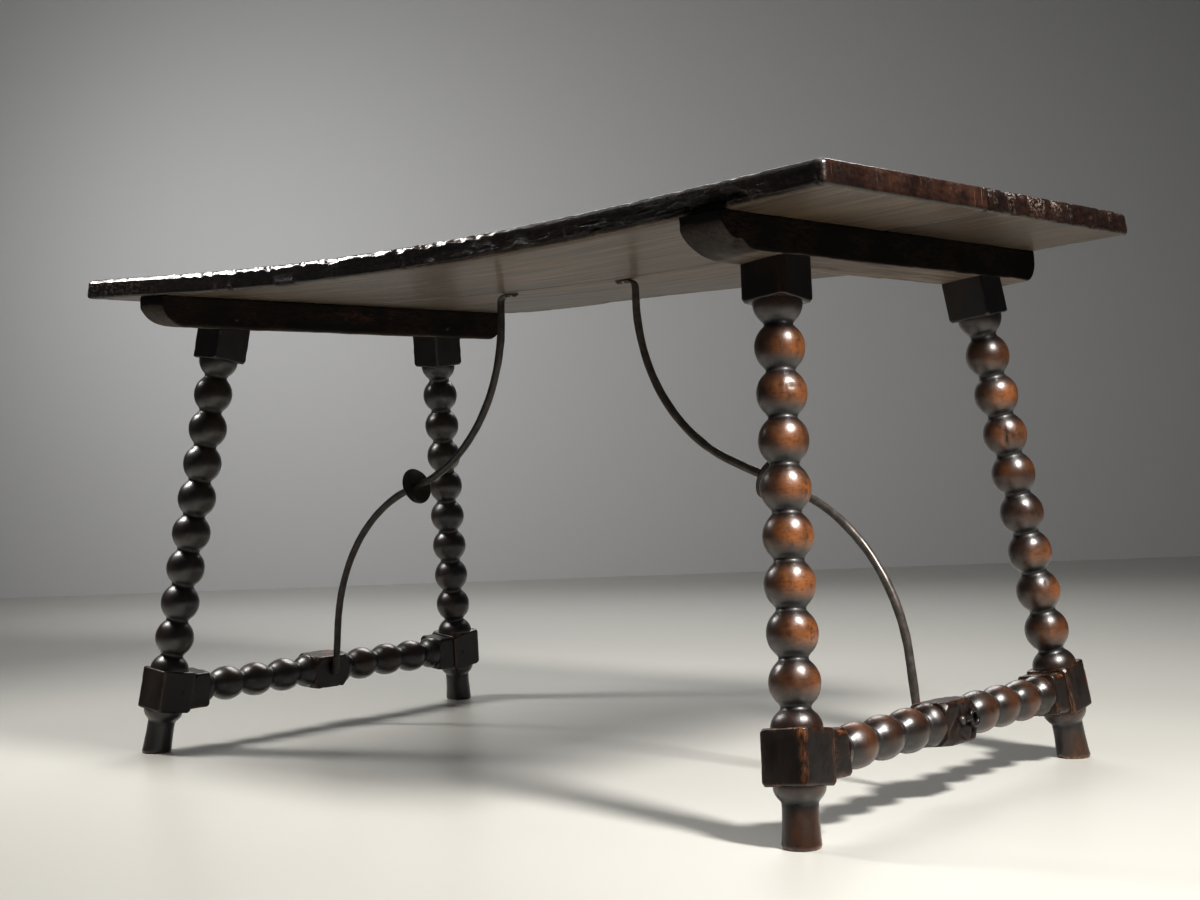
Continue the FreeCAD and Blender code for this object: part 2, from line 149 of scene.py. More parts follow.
def onLeg(side, depth, a, b, h):
    # along a leg: h up its own axis, a across the frame, b outwards in the frame's plane
    y = depth * (footY - h * math.sin(splay) + b * math.cos(splay))
    return onTrestle(side, a, y, h * math.cos(splay) + b * math.sin(splay))


def underside(x):
    # straight and sloped over the bearers, an arc of a circle between them
    x = np.abs(x)
    arc = sagCentre - np.sqrt(sagRadius ** 2 - np.minimum(x, halfSpan) ** 2)
    return np.where(x <= halfSpan, arc, endLow + (x - halfLength) * math.tan(endSlope))


def onBoard(x, lift):
    # a point lifted square to the underside at x
    sagTurn = np.arcsin(np.clip(x / sagRadius, -1, 1))
    turn = np.where(np.abs(x) <= halfSpan, sagTurn, np.sign(x) * endSlope)
    return x - lift * np.sin(turn), underside(x) + lift * np.cos(turn)


def makePiece(name, slotName, points, quads, triangles=None, flip=False, sharp=38, **layers):
    # points (n, 3), quads (m, 4), triangles (k, 3); layers are values per point
    triangles = np.zeros((0, 3), int) if triangles is None else triangles
    if flip:
        quads = quads[:, ::-1]
        triangles = triangles[:, ::-1]
    mesh = bpy.data.meshes.new(name)
    loops = np.concatenate([quads.ravel(), triangles.ravel()])
    starts = np.concatenate([np.arange(len(quads)) * 4, len(quads) * 4 + np.arange(len(triangles)) * 3])
    mesh.vertices.add(len(points))
    mesh.vertices.foreach_set("co", points.astype(np.float32).ravel())
    mesh.loops.add(len(loops))
    mesh.loops.foreach_set("vertex_index", loops.astype(np.int32))
    mesh.polygons.add(len(starts))
    mesh.polygons.foreach_set("loop_start", starts.astype(np.int32))
    mesh.polygons.foreach_set("use_smooth", np.ones(len(starts), bool))
    mesh.update(calc_edges=True)
    mesh.validate()
    mesh.set_sharp_from_angle(angle=math.radians(sharp))
    for key, values in layers.items():
        vector = values.ndim == 2
        layer = mesh.attributes.new(key, "FLOAT_VECTOR" if vector else "FLOAT", "POINT")
        layer.data.foreach_set("vector" if vector else "value", values.astype(np.float32).ravel())
    piece = bpy.data.objects.new(name, mesh)
    bpy.context.scene.collection.objects.link(piece)
    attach(piece, "root")
    return piece


def ringFaces(rings, segments, start=0):
    # quads between neighbouring rings and a fan to a pole at each end
    r = np.arange(rings - 1)[:, None] * segments
    s = np.arange(segments)[None]
    n = (s + 1) % segments
    quads = np.stack([r + s, r + n, r + segments + n, r + segments + s], -1).reshape(-1, 4)
    s, n = s[0], n[0]
    top = (rings - 1) * segments
    pole = np.full(segments, rings * segments)
    fans = np.concatenate([np.stack([n, s, pole], -1), np.stack([top + s, top + n, pole + 1], -1)])
    return quads + start, fans + start


def ringPoints(rings):
    # the rings (r, s, k) as one list, then the middle of the first and of the last ring
    points = rings.reshape(-1, rings.shape[-1])
    return np.concatenate([points, rings[:1].mean(1), rings[-1:].mean(1)])


def boxSkin(u, v, w):
    # the outer points of a box lattice with the given line positions, and its outward quads
    shape = (len(u), len(v), len(w))
    place = np.indices(shape)
    last = np.array(shape)[:, None, None, None] - 1
    skin = ((place == 0) | (place == last)).any(0)
    index = np.full(shape, -1)
    index[skin] = np.arange(skin.sum())

    def side(a, flip):
        q = np.stack([a[:-1, :-1], a[1:, :-1], a[1:, 1:], a[:-1, 1:]], -1).reshape(-1, 4)
        return q[:, ::-1] if flip else q

    quads = np.concatenate([
        side(index[0], True), side(index[-1], False),
        side(index[:, 0], False), side(index[:, -1], True),
        side(index[:, :, 0], True), side(index[:, :, -1], False)])
    i, j, k = place[:, skin]
    return u[i], v[j], w[k], quads


def roundBox(p, low, high, radius):
    # points of a box's skin drawn in to a rounded box: clip to the inner box, step out by the radius
    inner = np.clip(p, low + radius, high - radius)
    d = p - inner
    length = np.maximum(np.linalg.norm(d / radius, axis=-1, keepdims=True), tiny)
    return inner + d / length


edgeSteps = np.array([0, 0.25, 0.55, 1])  # how lattice lines crowd towards a rounded edge


def lines(low, high, count, edge):
    # evenly spread lattice lines with extra ones close to both ends
    near = edge * edgeSteps[:-1]
    return np.concatenate([low + near, np.linspace(low + edge, high - edge, count), high - near[::-1]])


def squareRadius(half, corner, angle):
    # how far a rounded square's outline lies from its middle in a direction
    fold = np.abs((angle + math.pi / 4) % (math.pi / 2) - math.pi / 4)
    m = half - corner
    along = (np.cos(fold) + np.sin(fold)) * m
    arc = along + np.sqrt(np.maximum(along ** 2 - 2 * m ** 2 + corner ** 2, 0))
    return np.where(half * np.tan(fold) <= m, half / np.cos(fold), arc)


# what the lathe leaves: ball and block shapes, rows and points per ring, in millimetres and shares
turning = {
    "ballTall": 1.12, "cove": 3.4, "coveDroop": 0.1, "quarterSteps": 25,
    "rows": {"ball": 27, "cup": 13, "dome": 13, "flare": 15, "block": 18, "head": 18, "centre": 44},
    "endSteps": (0, 0.12, 0.4, 1, 1.6), "edgeWear": 3, "blockGrime": 0.42,
    # corners taken off at the ends of a square part: share there, rise, run; most on the middle block
    "shoulder": {"block": (1.27, 0.2, 9), "head": (1.27, 0.2, 9), "centre": (1.1, 0.35, 15)},
    "rub": {"ball": 1.0, "cup": 0.25, "dome": 0.25, "flare": 0.5},
    "flareEase": 1.6, "chamfer": 1.8, "chamferUp": 3, "footWear": 2.2, "wearLow": 2.5, "wearHigh": 4.5,
}


def bead(h, centre, big, small, half):
    # a ball's outline: an ellipse a little taller than the ball, eased into the neck by a small cove
    d = (h - centre) / half
    ball = big * np.sqrt(np.maximum(1 - (d / turning["ballTall"]) ** 2, 0))
    cove = turning["cove"] * mm
    k = np.clip(0.5 + 0.5 * (ball - small) / cove, 0, 1)
    r = small * (1 - k) + ball * k + cove * k * (1 - k)
    return np.maximum(r - cove * turning["coveDroop"] * np.abs(d) ** 8, small)


# angles of a ring, closer together at the corners of the square parts
quarter = np.linspace(-1, 1, turning["quarterSteps"])[:-1]
quarter = math.pi / 4 * (1.5 * quarter - 0.5 * quarter ** 3)
ringAngles = np.concatenate([quarter + n * math.pi / 2 for n in range(4)])


def blockRows(kind, start, end, big, small):
    # a square part: straight, with a quarter round at each end; a head's upper end stays square
    t = 0.5 - 0.5 * np.cos(math.pi * np.linspace(0, 1, turning["rows"][kind]))
    edge = np.array(turning["endSteps"]) * small
    h = np.sort(np.concatenate([start + edge, start + (end - start) * t[2:-2], end - edge[::-1]]))
    d = h - start if kind == "head" else np.minimum(h - start, end - h)
    r = big - small * (1 - np.sqrt(1 - (1 - np.clip(d / small, 0, 1)) ** 2))
    share, rise, run = turning["shoulder"][kind]
    shoulder = big * (share + rise * smooth(0, run * mm, d))
    worn = fade(d, turning["edgeWear"])
    grime = turning["blockGrime"] + 0 * h
    return np.stack([h, r, 0 * h + 1, worn, grime, 0 * h, shoulder], -1)


def ballRows(kind, start, end, big, small):
    # a ball, or its lower half (cup) or upper half (dome): rubbed at its widest, darkened in the neck with
    # painted shade
    t = np.linspace(0, 1, turning["rows"][kind])
    ease = np.sin((t - 0.5) * math.pi) / 2 + 0.5
    h = start + (end - start) * (ease if kind == "ball" else t)
    half = (end - start) / 2 if kind == "ball" else end - start
    centre = {"ball": (start + end) / 2, "cup": end, "dome": start}[kind]
    r = bead(h, centre, big, small, half)
    k = (r - small) / (big - small)
    rubbedAndLit = smooth(0.35, 1, k) * turning["rub"][kind]
    return np.stack([h, r, 0 * h, 0 * h, 1 - smooth(0, 0.5, k), rubbedAndLit, 2 * r], -1)


def flareRows(kind, start, end, big, small):
    # the foot: wide below, a parabola up to the neck, a small chamfer at the floor, darkened at the neck
    # with painted shade
    t = np.linspace(0, 1, turning["rows"][kind]) ** turning["flareEase"]
    h = start + (end - start) * t
    chamfer = turning["chamfer"] * mm * (1 - np.clip(h / (turning["chamferUp"] * mm), 0, 1))
    r = small + (big - small) * (1 - t) ** 2 - chamfer
    worn = turning["footWear"] * smooth(turning["wearHigh"] * mm, turning["wearLow"] * mm, h)
    return np.stack([h, r, 0 * h, worn, smooth(0.86, 1, t), turning["rub"][kind] * (1 - t), 2 * r], -1)


def turnedRows(parts):
    # rows (height, radius, square or not, worn, darkened by painted shade in the necks and by the blocks'
    # darker tone, rubbed, shoulder) of a turned piece, part after part
    maker = {"ball": ballRows, "cup": ballRows, "dome": ballRows, "flare": flareRows}
    return np.concatenate([maker.get(part[0], blockRows)(*part) for part in parts])


def ballRun(first, pitch, count, s):
    starts = [first + n * pitch for n in range(count)]
    return [("ball", start, start + pitch, s["ball"], s["neck"]) for start in starts]


# how use has marked the turned pieces, in millimetres and shares
handling = {
    "cornerRound": 4, "knockedRound": 4.5, "knockedSpread": 0.45, "knockedWear": 5, "chip": 2.0,
    "dentSize": (1.6, 5), "dentDepth": (0.2, 0.9), "dentLong": (1, 2.2), "dentWide": 0.7, "dentRadius": 29,
    "scarFrom": 0.9, "scarTo": 2.6, "sway": 1.2, "calmAbove": 600, "calmWear": 0.05, "leastWear": 0.15,
    # the next value sets how dark a frame with little light is painted: painted shade
    "frameShade": 0.6, "sharp": 34,
}


def scatterDents(seed, count, heights):
    # dents (height, angle, depth, length, width, slant); heights draws where they lie along the piece
    rng = np.random.default_rng(seed)
    size = rng.uniform(*handling["dentSize"], count) * mm
    along = heights(rng)
    angle = rng.uniform(0, 2 * math.pi, count)
    depth = rng.uniform(*handling["dentDepth"], count) * mm
    length = size * rng.uniform(*handling["dentLong"], count)
    slant = rng.uniform(0, math.pi, count)
    return np.stack([along, angle, depth, length, size * handling["dentWide"], slant], -1)


def turnedSkin(rows, seed, dents, wobble, shade):
    # the rows swept round: circles or rounded squares, each ball a little uneven, with dents and chips
    s = inMetres(handling)
    h, radius, square, endWear, neckShadeAndBlockTone, rubbedAndLit, shoulder = (k[:, None] for k in rows.T)
    angle = ringAngles[None]
    # the corner that stands furthest out is knocked roundest
    outer = bell((angle + math.pi * 3 / 4) % (2 * math.pi), math.pi, handling["knockedSpread"])
    block = squareRadius(radius, s["cornerRound"] + s["knockedRound"] * outer, angle)
    r = np.where(square > 0.5, np.minimum(block, shoulder), radius + 0 * angle)
    place = np.stack(np.broadcast_arrays(np.cos(angle) * r, np.sin(angle) * r, h), -1)
    corner = smooth(0.85, 0.955, block / (radius * math.sqrt(2))) * square
    chip = peaks(rough(place, 110, 2, seed + 3), 0.1) * corner * s["chip"]
    calm = 1 - 0.5 * square
    r = r + (noise(place, 28, seed) + noise(place, 90, seed + 1) * 0.45) * wobble * calm - chip
    # each dent is a bell stretched along a slanted line
    scar = 0
    for dentUp, dentTurn, depth, length, width, slant in dents:
        gap = ((angle - dentTurn + math.pi) % (2 * math.pi) - math.pi) * s["dentRadius"]
        long = (h - dentUp) * math.cos(slant) + gap * math.sin(slant)
        short = -(h - dentUp) * math.sin(slant) + gap * math.cos(slant)
        dent = np.exp(-(long / length) ** 2 - (short / width) ** 2)
        r = r - depth * dent
        scar = np.maximum(scar, dent * smooth(s["scarFrom"], s["scarTo"], depth))
    sway = noise(onLine(rows[:, 0]), 14, seed + 5)[:, None] * wobble * handling["sway"]
    a = np.cos(angle) * r + sway
    b = np.sin(angle) * r
    # shade is the light a frame gets: where it is low, less wear and band and more darkening, which is
    # painted shade
    worn = np.maximum(corner * (1 + handling["knockedWear"] * outer * shade), endWear)
    worn = worn * (handling["leastWear"] + (1 - handling["leastWear"]) * shade)
    worn = worn * np.where(h > s["calmAbove"], handling["calmWear"], 1)
    # darkening: painted shade in the necks and on the frame with little light, and the darker deep dents
    grime = np.maximum(np.maximum(neckShadeAndBlockTone, (1 - shade) * handling["frameShade"]), scar) + 0 * angle
    return a, b, h + 0 * angle, worn, grime, rubbedAndLit * shade + 0 * angle, square + 0 * angle


def turnedPiece(name, place, grain, layers, flip):
    # the rings of a turned piece with its wear layers, closed at both ends and kept above the floor
    rings = np.concatenate([place, grain] + [k[..., None] for k in layers], -1)
    points = ringPoints(rings)
    points[:, 2] = np.maximum(points[:, 2], 0)
    worn, grime, band, flat = points[:, 6:].T
    quads, fans = ringFaces(*rings.shape[:2])
    return makePiece(name, "turned_walnut", points[:, :3], quads, fans, flip=flip, sharp=handling["sharp"],
                     grain=points[:, 3:6], worn=worn, grime=grime, band=band, flat=flat)


# one leg: turned foot and cup, square block, half ball, eight balls, cup, square block
leg = {
    "foot": 46.5, "footBase": 23, "footNeck": 21, "footCup": 20.5, "lowerBlock": 65, "dome": 22.5,
    "ball": 30, "neck": 17.5, "balls": 8, "upperCup": 26.5, "square": 31, "arris": 3, "upperBlock": 51.5,
    "wobble": 0.45, "dents": 26, "dentSpan": (0.25, 0.75), "cutRun": 30, "grainShift": (0.13, 0.07, 0),
    # per side: how much rubbed band and wear shows and how little the pieces are darkened; the left frame's
    # low value is painted shade, and the top and inner shares keep the band off ball tops and inner sides
    # as painted shade
    "rubbedAndLit": {1: 1.0, -1: 0.14}, "topShadeBand": 0.42, "innerShadeBand": 0.3,
    # dents on single balls: ball from below, up, turn, depth, length, width, slant
    "marks": {
        (1, -1): ((6, 2, 27, 1.6, 6, 2.4, 80), (4, 13, 82, 1.3, 3.5, 2.6, 30),
                  (3, -4, 40, 0.9, 6, 2, 60), (1, 6, 70, 0.9, 5, 1.6, 20)),
        (1, 1): ((5, -3, -61, 3.4, 8, 2.0, 0), (5, -8, -66, 1.6, 4, 2.2, 20), (2, 5, -40, 0.9, 5, 2, 70)),
        (-1, -1): ((6, 0, 120, 0.9, 6, 2, 30),),
    },
}


def legRows():
    s = inMetres(leg)
    blockLow = s["foot"] + s["footCup"]
    domeLow = blockLow + s["lowerBlock"]
    first = domeLow + s["dome"]
    shoulder = legLength - s["upperBlock"]
    last = shoulder - s["upperCup"]
    pitch = (last - first) / leg["balls"]
    parts = [("flare", 0, s["foot"], s["footBase"], s["footNeck"]),
             ("cup", s["foot"], blockLow, s["ball"], s["footNeck"]),
             ("block", blockLow, domeLow, s["square"], s["arris"]),
             ("dome", domeLow, first, s["ball"], s["neck"])]
    parts += ballRun(first, pitch, leg["balls"], s)
    parts += [("cup", last, shoulder, s["ball"], s["neck"]),
              ("head", shoulder, legLength, s["square"], s["arris"])]
    return turnedRows(parts), first, pitch


def makeLeg(name, side, depth, seed):
    s = inMetres(leg)
    rows, first, pitch = legRows()
    count = leg["dents"]

    def onBalls(rng):
        return first + (rng.integers(0, leg["balls"], count) + rng.uniform(*leg["dentSpan"], count)) * pitch

    marks = []
    for ball, up, turn, deep, long, wide, slant in leg["marks"].get((side, depth), ()):
        middle = first + (ball + 0.5) * pitch + up * mm
        marks.append((middle, math.radians(turn), deep * mm, long * mm, wide * mm, math.radians(slant)))
    dents = np.concatenate([scatterDents(seed, count, onBalls), np.reshape(marks, (-1, 6))])
    a, b, h, worn, grime, band, flat = turnedSkin(rows, seed, dents, s["wobble"], leg["rubbedAndLit"][side])
    # the rubbed band is cut on the top of each ball and on the leg's inner side: painted shade there,
    # painted light on the outer side
    upBall = (h - first) / pitch
    low = leg["topShadeBand"] + (1 - leg["topShadeBand"]) * smooth(0.9, 0.4, upBall % 1)
    band = band * np.where((upBall > 0) & (upBall < leg["balls"]), low, 1)
    band = band * (leg["innerShadeBand"] + (1 - leg["innerShadeBand"]) * smooth(-0.25, 0.8, a / np.hypot(a, b)))
    # the foot is cut level with the floor, the top level with the bearer
    atFoot = 1 - smooth(0, s["cutRun"], h)
    atTop = smooth(legLength - s["cutRun"], legLength, h)
    footCut = (-a * math.tan(lean) - b * math.sin(splay)) / math.cos(splay)
    place = onLeg(side, depth, a, b, h + atFoot * footCut - atTop * b * math.tan(splay))
    grain = np.stack([a, b, h], -1) + seed * np.array(leg["grainShift"])
    return turnedPiece(name, place, grain, (worn, grime, band, flat), side * depth < 0)


# one stretcher: square stubs, a half ball, three balls, the square block in the middle, and back
stretcher = {
    "up": 95, "square": 28, "arris": 3, "block": 36, "halfBall": 21, "stub": 34, "ball": 27.5, "neck": 17,
    # per side, as on the legs: the left frame's low value is painted shade
    "balls": 3, "wobble": 0.45, "dents": 20, "grainShift": (0.11, 0.05, 0), "rubbedAndLit": {1: 0.48, -1: 0.16},
    "footRub": 1.3, "footWear": 0.9, "gouge": 2.2,
    # strokes on the middle block: start, slant and bend as shares of the block, width
    "gouges": ((-0.45, 0.35, 0.25, 3.2), (-0.05, -0.3, 0.3, 2.6), (0.5, 0.2, -0.2, 2.2)), "gougeWaves": 3.2,
}


def makeStretcher(name, side, seed):
    s = inMetres(stretcher)
    axisY = footY - s["up"] * math.tan(splay)
    end = axisY - leg["square"] * mm / math.cos(splay)
    stub = end - s["stub"]
    last = stub - s["halfBall"]
    first = s["block"] + s["halfBall"]
    pitch = (last - first) / stretcher["balls"]
    half = [("dome", s["block"], first, s["ball"], s["neck"])]
    half += ballRun(first, pitch, stretcher["balls"], s)
    half += [("cup", last, stub, s["ball"], s["neck"]), ("block", stub, end, s["square"], s["arris"])]
    half = turnedRows(half)
    other = half[::-1] * np.array([-1, 1, 1, 1, 1, 1, 1])
    middle = turnedRows([("centre", -s["block"], s["block"], s["square"], s["arris"])])
    rows = np.concatenate([other, middle, half])
    count = stretcher["dents"]

    def onBalls(rng):
        return rng.choice([-1, 1], count) * rng.uniform(first, last, count)

    dents = scatterDents(seed, count, onBalls)
    c, a, t, worn, grime, band, flat = turnedSkin(rows, seed, dents, s["wobble"], stretcher["rubbedAndLit"][side])
    y = t - np.sign(t) * smooth(stub, end, np.abs(t)) * c * math.tan(splay)
    # the middle block's upper edges are rubbed down by feet
    mid = 1 - smooth(s["block"] * 0.9, s["block"], np.abs(t))
    rub = mid * smooth(0.5, 1, c / s["square"]) * (1 + 0.5 * noise(np.stack([a, t, 0 * t], -1), 70, seed))
    c = c - rub * s["footRub"]
    worn = np.maximum(worn, rub * stretcher["footWear"])
    # gouges on the block's outer face: bent strokes, each a sine wave set at a slant
    onFace = mid * smooth(0.8, 1, a / s["square"])
    v = c / s["square"]
    gouge = 0
    for start, slant, bend, wide in stretcher["gouges"]:
        line = (start + slant * v + bend * np.sin(v * stretcher["gougeWaves"])) * s["block"]
        gouge = gouge + bell(t, line, wide * mm) * smooth(1.0, 0.7, np.abs(v))
    a = a - onFace * gouge * s["gouge"]
    grime = np.maximum(grime, onFace * smooth(0.25, 0.9, gouge))
    grain = np.stack([a, c, t], -1) + seed * np.array(stretcher["grainShift"])
    return turnedPiece(name, onTrestle(side, a, y, s["up"] + c), grain, (worn, grime, band, flat), side < 0)


# a bearer: a bar across the depth, its lower corners rounded, the front one most
bearer = {
    "frontRound": {1: 71.3, -1: 49.6}, "backRound": 34, "roundShare": 0.78, "arris": 2.2,
    "fineRun": 100, "coarseGap": 4, "fineLines": 36, "coarseLines": 130, "crossLines": 12,
    "uneven": 0.7, "waves": (22, 40, 26), "bite": 1.6, "biteUp": 6, "biteNear": 3.3, "edgeWear": 5,
    "wornNear": 2.42, "bottomSpan": (3, 0.5), "grainShift": (0.17, 0, 0),
    "chip": 7, "chipY": 34, "chipLong": 9, "chipUp": 12, "chipIn": 16,
    "patchY": 30, "patchLong": 45, "patchTall": 9, "patchUp": 0.62, "patchWear": 4,
    # per side: the right bearer is darkened all over, which is painted shade
    "topGap": 0.05, "grime": {1: 0.95, -1: 0.0}, "roundDark": 0.62,
}


def makeBearer(name, side, seed):
    s = inMetres(bearer)
    half = bearerHalf
    wide = table["bearerWidth"] / 2 * mm
    tall = table["bearerHeight"] * mm
    arris = s["arris"]
    count = bearer["crossLines"]
    inner = half - s["fineRun"] - s["coarseGap"]
    fine = lines(half - s["fineRun"], half, bearer["fineLines"], arris)
    v = np.concatenate([-fine, np.linspace(-inner, inner, bearer["coarseLines"]), fine])
    v = np.unique(np.round(v, 6))
    u, v, w, quads = boxSkin(lines(-wide, wide, count, arris), v, lines(0, tall, count, arris))
    p = roundBox(np.stack([u, v, w], -1), np.array([-wide, -half, 0]), np.array([wide, half, tall]), arris)
    place = p + seed
    waves = [noise(place, scale, seed + n) for n, scale in enumerate(bearer["waves"])]
    p = p + np.stack(waves, -1) * s["uneven"]
    # quarter rounds at the ends: the bottom rises along an ellipse
    frontRound = bearer["frontRound"][side] * mm
    front = np.clip((-p[:, 1] - (half - frontRound)) / frontRound, 0, 1)
    back = np.clip((p[:, 1] - (half - s["backRound"])) / s["backRound"], 0, 1)
    ends = np.maximum(front, back)
    lift = tall * bearer["roundShare"] * (1 - np.sqrt(1 - ends ** 2))
    lift = lift * (1 + 0.1 * noise(place * [1, 3, 1], 25, seed + 4))
    z = lift + p[:, 2] * (1 - lift / tall)
    # small bites out of the lower arrises
    toSide = np.abs(np.abs(u) - wide)
    bite = peaks(noise(place, 60, seed + 8), 0.25) * fade(w, bearer["biteUp"]) * s["bite"]
    z = z + bite * (toSide < s["biteNear"])
    if side > 0:
        chip = bell(p[:, 1], s["chipY"] - half, s["chipLong"]) * fade(w, bearer["chipUp"])
        z = z + chip * smooth(wide - s["chipIn"], wide, u) * s["chip"]
    # the top follows the underside of the boards, the bottom is square to the lean
    slope = math.cos(lean) * math.tan(endSlope) - math.sin(lean)
    topUp = (underRise + p[:, 0] * slope) / leanRise
    points = onTrestle(side, p[:, 0], p[:, 1], bearerBottom + z * (topUp - bearerBottom) / tall)
    points[:, 2] = np.minimum(points[:, 2], underside(points[:, 0]) - s["topGap"])
    grain = np.stack([p[:, 0], z, p[:, 1]], -1) + seed * np.array(bearer["grainShift"])
    bottom = between(bearer["bottomSpan"], w) * (1 - bearer["roundDark"] * smooth(0.05, 0.3, ends))
    # worn along the arrises, and on a reddish patch of the left bearer's inner face
    nearEdge = np.minimum(wide - np.abs(u), np.minimum(w, tall - w))
    worn = fade(nearEdge, bearer["edgeWear"]) * (np.minimum(toSide, w) < s["wornNear"])
    patch = bell(p[:, 1], s["patchY"], s["patchLong"]) * bell(w, tall * bearer["patchUp"], s["patchTall"])
    worn = worn + bearer["patchWear"] * patch * (u < -wide * 0.9) * (side < 0)
    # the right bearer's darkening is painted shade; the bottom keeps its pale colour
    return makePiece(name, "bearer_walnut", points, quads, flip=side < 0, sharp=40, grain=grain,
                     worn=worn, grime=bearer["grime"][side] * (1 - bottom), under=bottom)


# the boards: long sagged planks, worn along the front, ragged in front of the right bearer
boards = {
    "edgeRound": 5.4, "gap": 0.9, "backLift": 13, "corner": 5, "cornerTop": 9,
    # lattice lines across (gap to the outer edge, gap to the seam, count) and along
    "seamSteps": (0, 0.8, 2, 5), "across": {True: (29, 9, 54), False: (27, 8, 112)},
    "along": {True: 460, False: 250}, "fineFrom": 7, "fineTo": 24, "endFine": 20, "endGap": 23, "upGap": 6,
    "fineLines": 8, "endLines": 9, "upLines": 13,
    "topWave": 0.5, "underWave": 0.45, "edgeWave": 1.0, "edgeRipple": 0.5, "chip": 6, "chipIn": 0.8,
    "bevel": 3.6, "bevelPlane": (0.77, 0.63), "bevelRight": 0.3, "nibble": 0.95, "nibbleSlant": 1.2,
    "chipTop": 5, "knock": 2.0, "bite": 2.4, "crack": 7, "split": 3.2, "notch": 4, "endChip": 12,
    # torn stretches of the lower front edge: place along the table, width, share
    "tear": 17, "tearUp": 0.45, "tears": ((570, 60, 1), (430, 110, 0.5), (200, 120, 0.22)),
    # how far the marks reach in from an edge
    "lowReach": 5, "topReach": 4, "waveReach": 9, "chipReach": 7, "tearReach": 8, "knockReach": 6,
    "endReach": 7, "endChipReach": 9, "wornReach": 3, "rawReach": 14, "nickGlintReach": 10, "seamGrime": 1.6,
    # where marks set in and die away, along the table, across it, or up from the underside
    "bevelSpan": (450, 50), "nibbleSpan": (-550, -300), "frayedSpan": (140, 220), "crackFrom": (100, 400),
    "crackTo": (700, 600), "dullSpan": (150, 320), "splitSpan": (-120, -30), "liftAlong": (520, 100),
    "liftMiddle": 20, "liftFrom": 100, "underSpan": (4, 0.5), "rimSpan": (1, 6), "endSpan": (3, 0.2),
    "glintSpeckSpan": (-450, -680), "glintSpeckTop": (0, 4), "glintSpeckX": 500, "nickGlintY": 80, "nickGlintWide": 90,
    # the next three place painted shade on the back board's underside beside the bearers
    "bearerShadowX": 580, "bearerShadowWide": 90, "bearerShadowAcross": (300, 50), "rawCut": 1.4,
    "grainShift": (0.21, 0, 0),
}


def boardLines(front, low, high):
    # lattice lines along, across and up a board, crowded at the outer edges
    s = inMetres(boards)
    near = s["edgeRound"] * edgeSteps
    outerGap, seamGap, count = boards["across"][front]
    width = high - low
    steps = np.concatenate([near, np.linspace(s["fineFrom"], s["fineTo"], boards["fineLines"]),
                            np.linspace(outerGap * mm, width - seamGap * mm, count),
                            width - np.array(boards["seamSteps"][::-1]) * mm])
    ends = np.concatenate([near[:-1], np.linspace(s["edgeRound"], s["endFine"], boards["endLines"])])
    middle = halfLength - s["endGap"]
    x = np.concatenate([ends - halfLength, np.linspace(-middle, middle, boards["along"][front]),
                        halfLength - ends[::-1]])
    z = np.concatenate([near, np.linspace(s["upGap"], thickness - s["upGap"], boards["upLines"]),
                        thickness - near[::-1]])
    return x, low + steps if front else high - steps[::-1], z


def roundBoard(u, v, t, low, high, outer, seam):
    # the lattice box with its arrises rounded, the seam's edge square
    s = inMetres(boards)
    edge = s["edgeRound"]
    box = np.stack([u, v, t], -1)
    lowest = np.array([-halfLength, low, 0])
    highest = np.array([halfLength, high, thickness])
    inner = np.clip(box, lowest + edge, highest - edge)
    step = box - inner
    reach = np.hypot(np.abs(step[:, :2]).max(1), step[:, 2]) / edge
    p = inner + step / np.maximum(reach, tiny)[:, None]
    p[:, 1] = np.where(np.abs(v - seam) < tiny, seam, p[:, 1])
    # the outer corners are rubbed round: the square of each corner becomes a quarter circle
    corner = s["corner"] + s["cornerTop"] * p[:, 2] / thickness
    dx = np.maximum(np.abs(p[:, 0]) - (halfLength - corner), 0)
    dy = np.maximum(corner - np.abs(p[:, 1] - outer), 0)
    pull = np.maximum(dx, dy) / np.maximum(np.hypot(dx, dy), tiny) - 1
    p[:, 0] += np.sign(p[:, 0]) * dx * pull
    p[:, 1] += np.sign(outer) * dy * pull
    return p


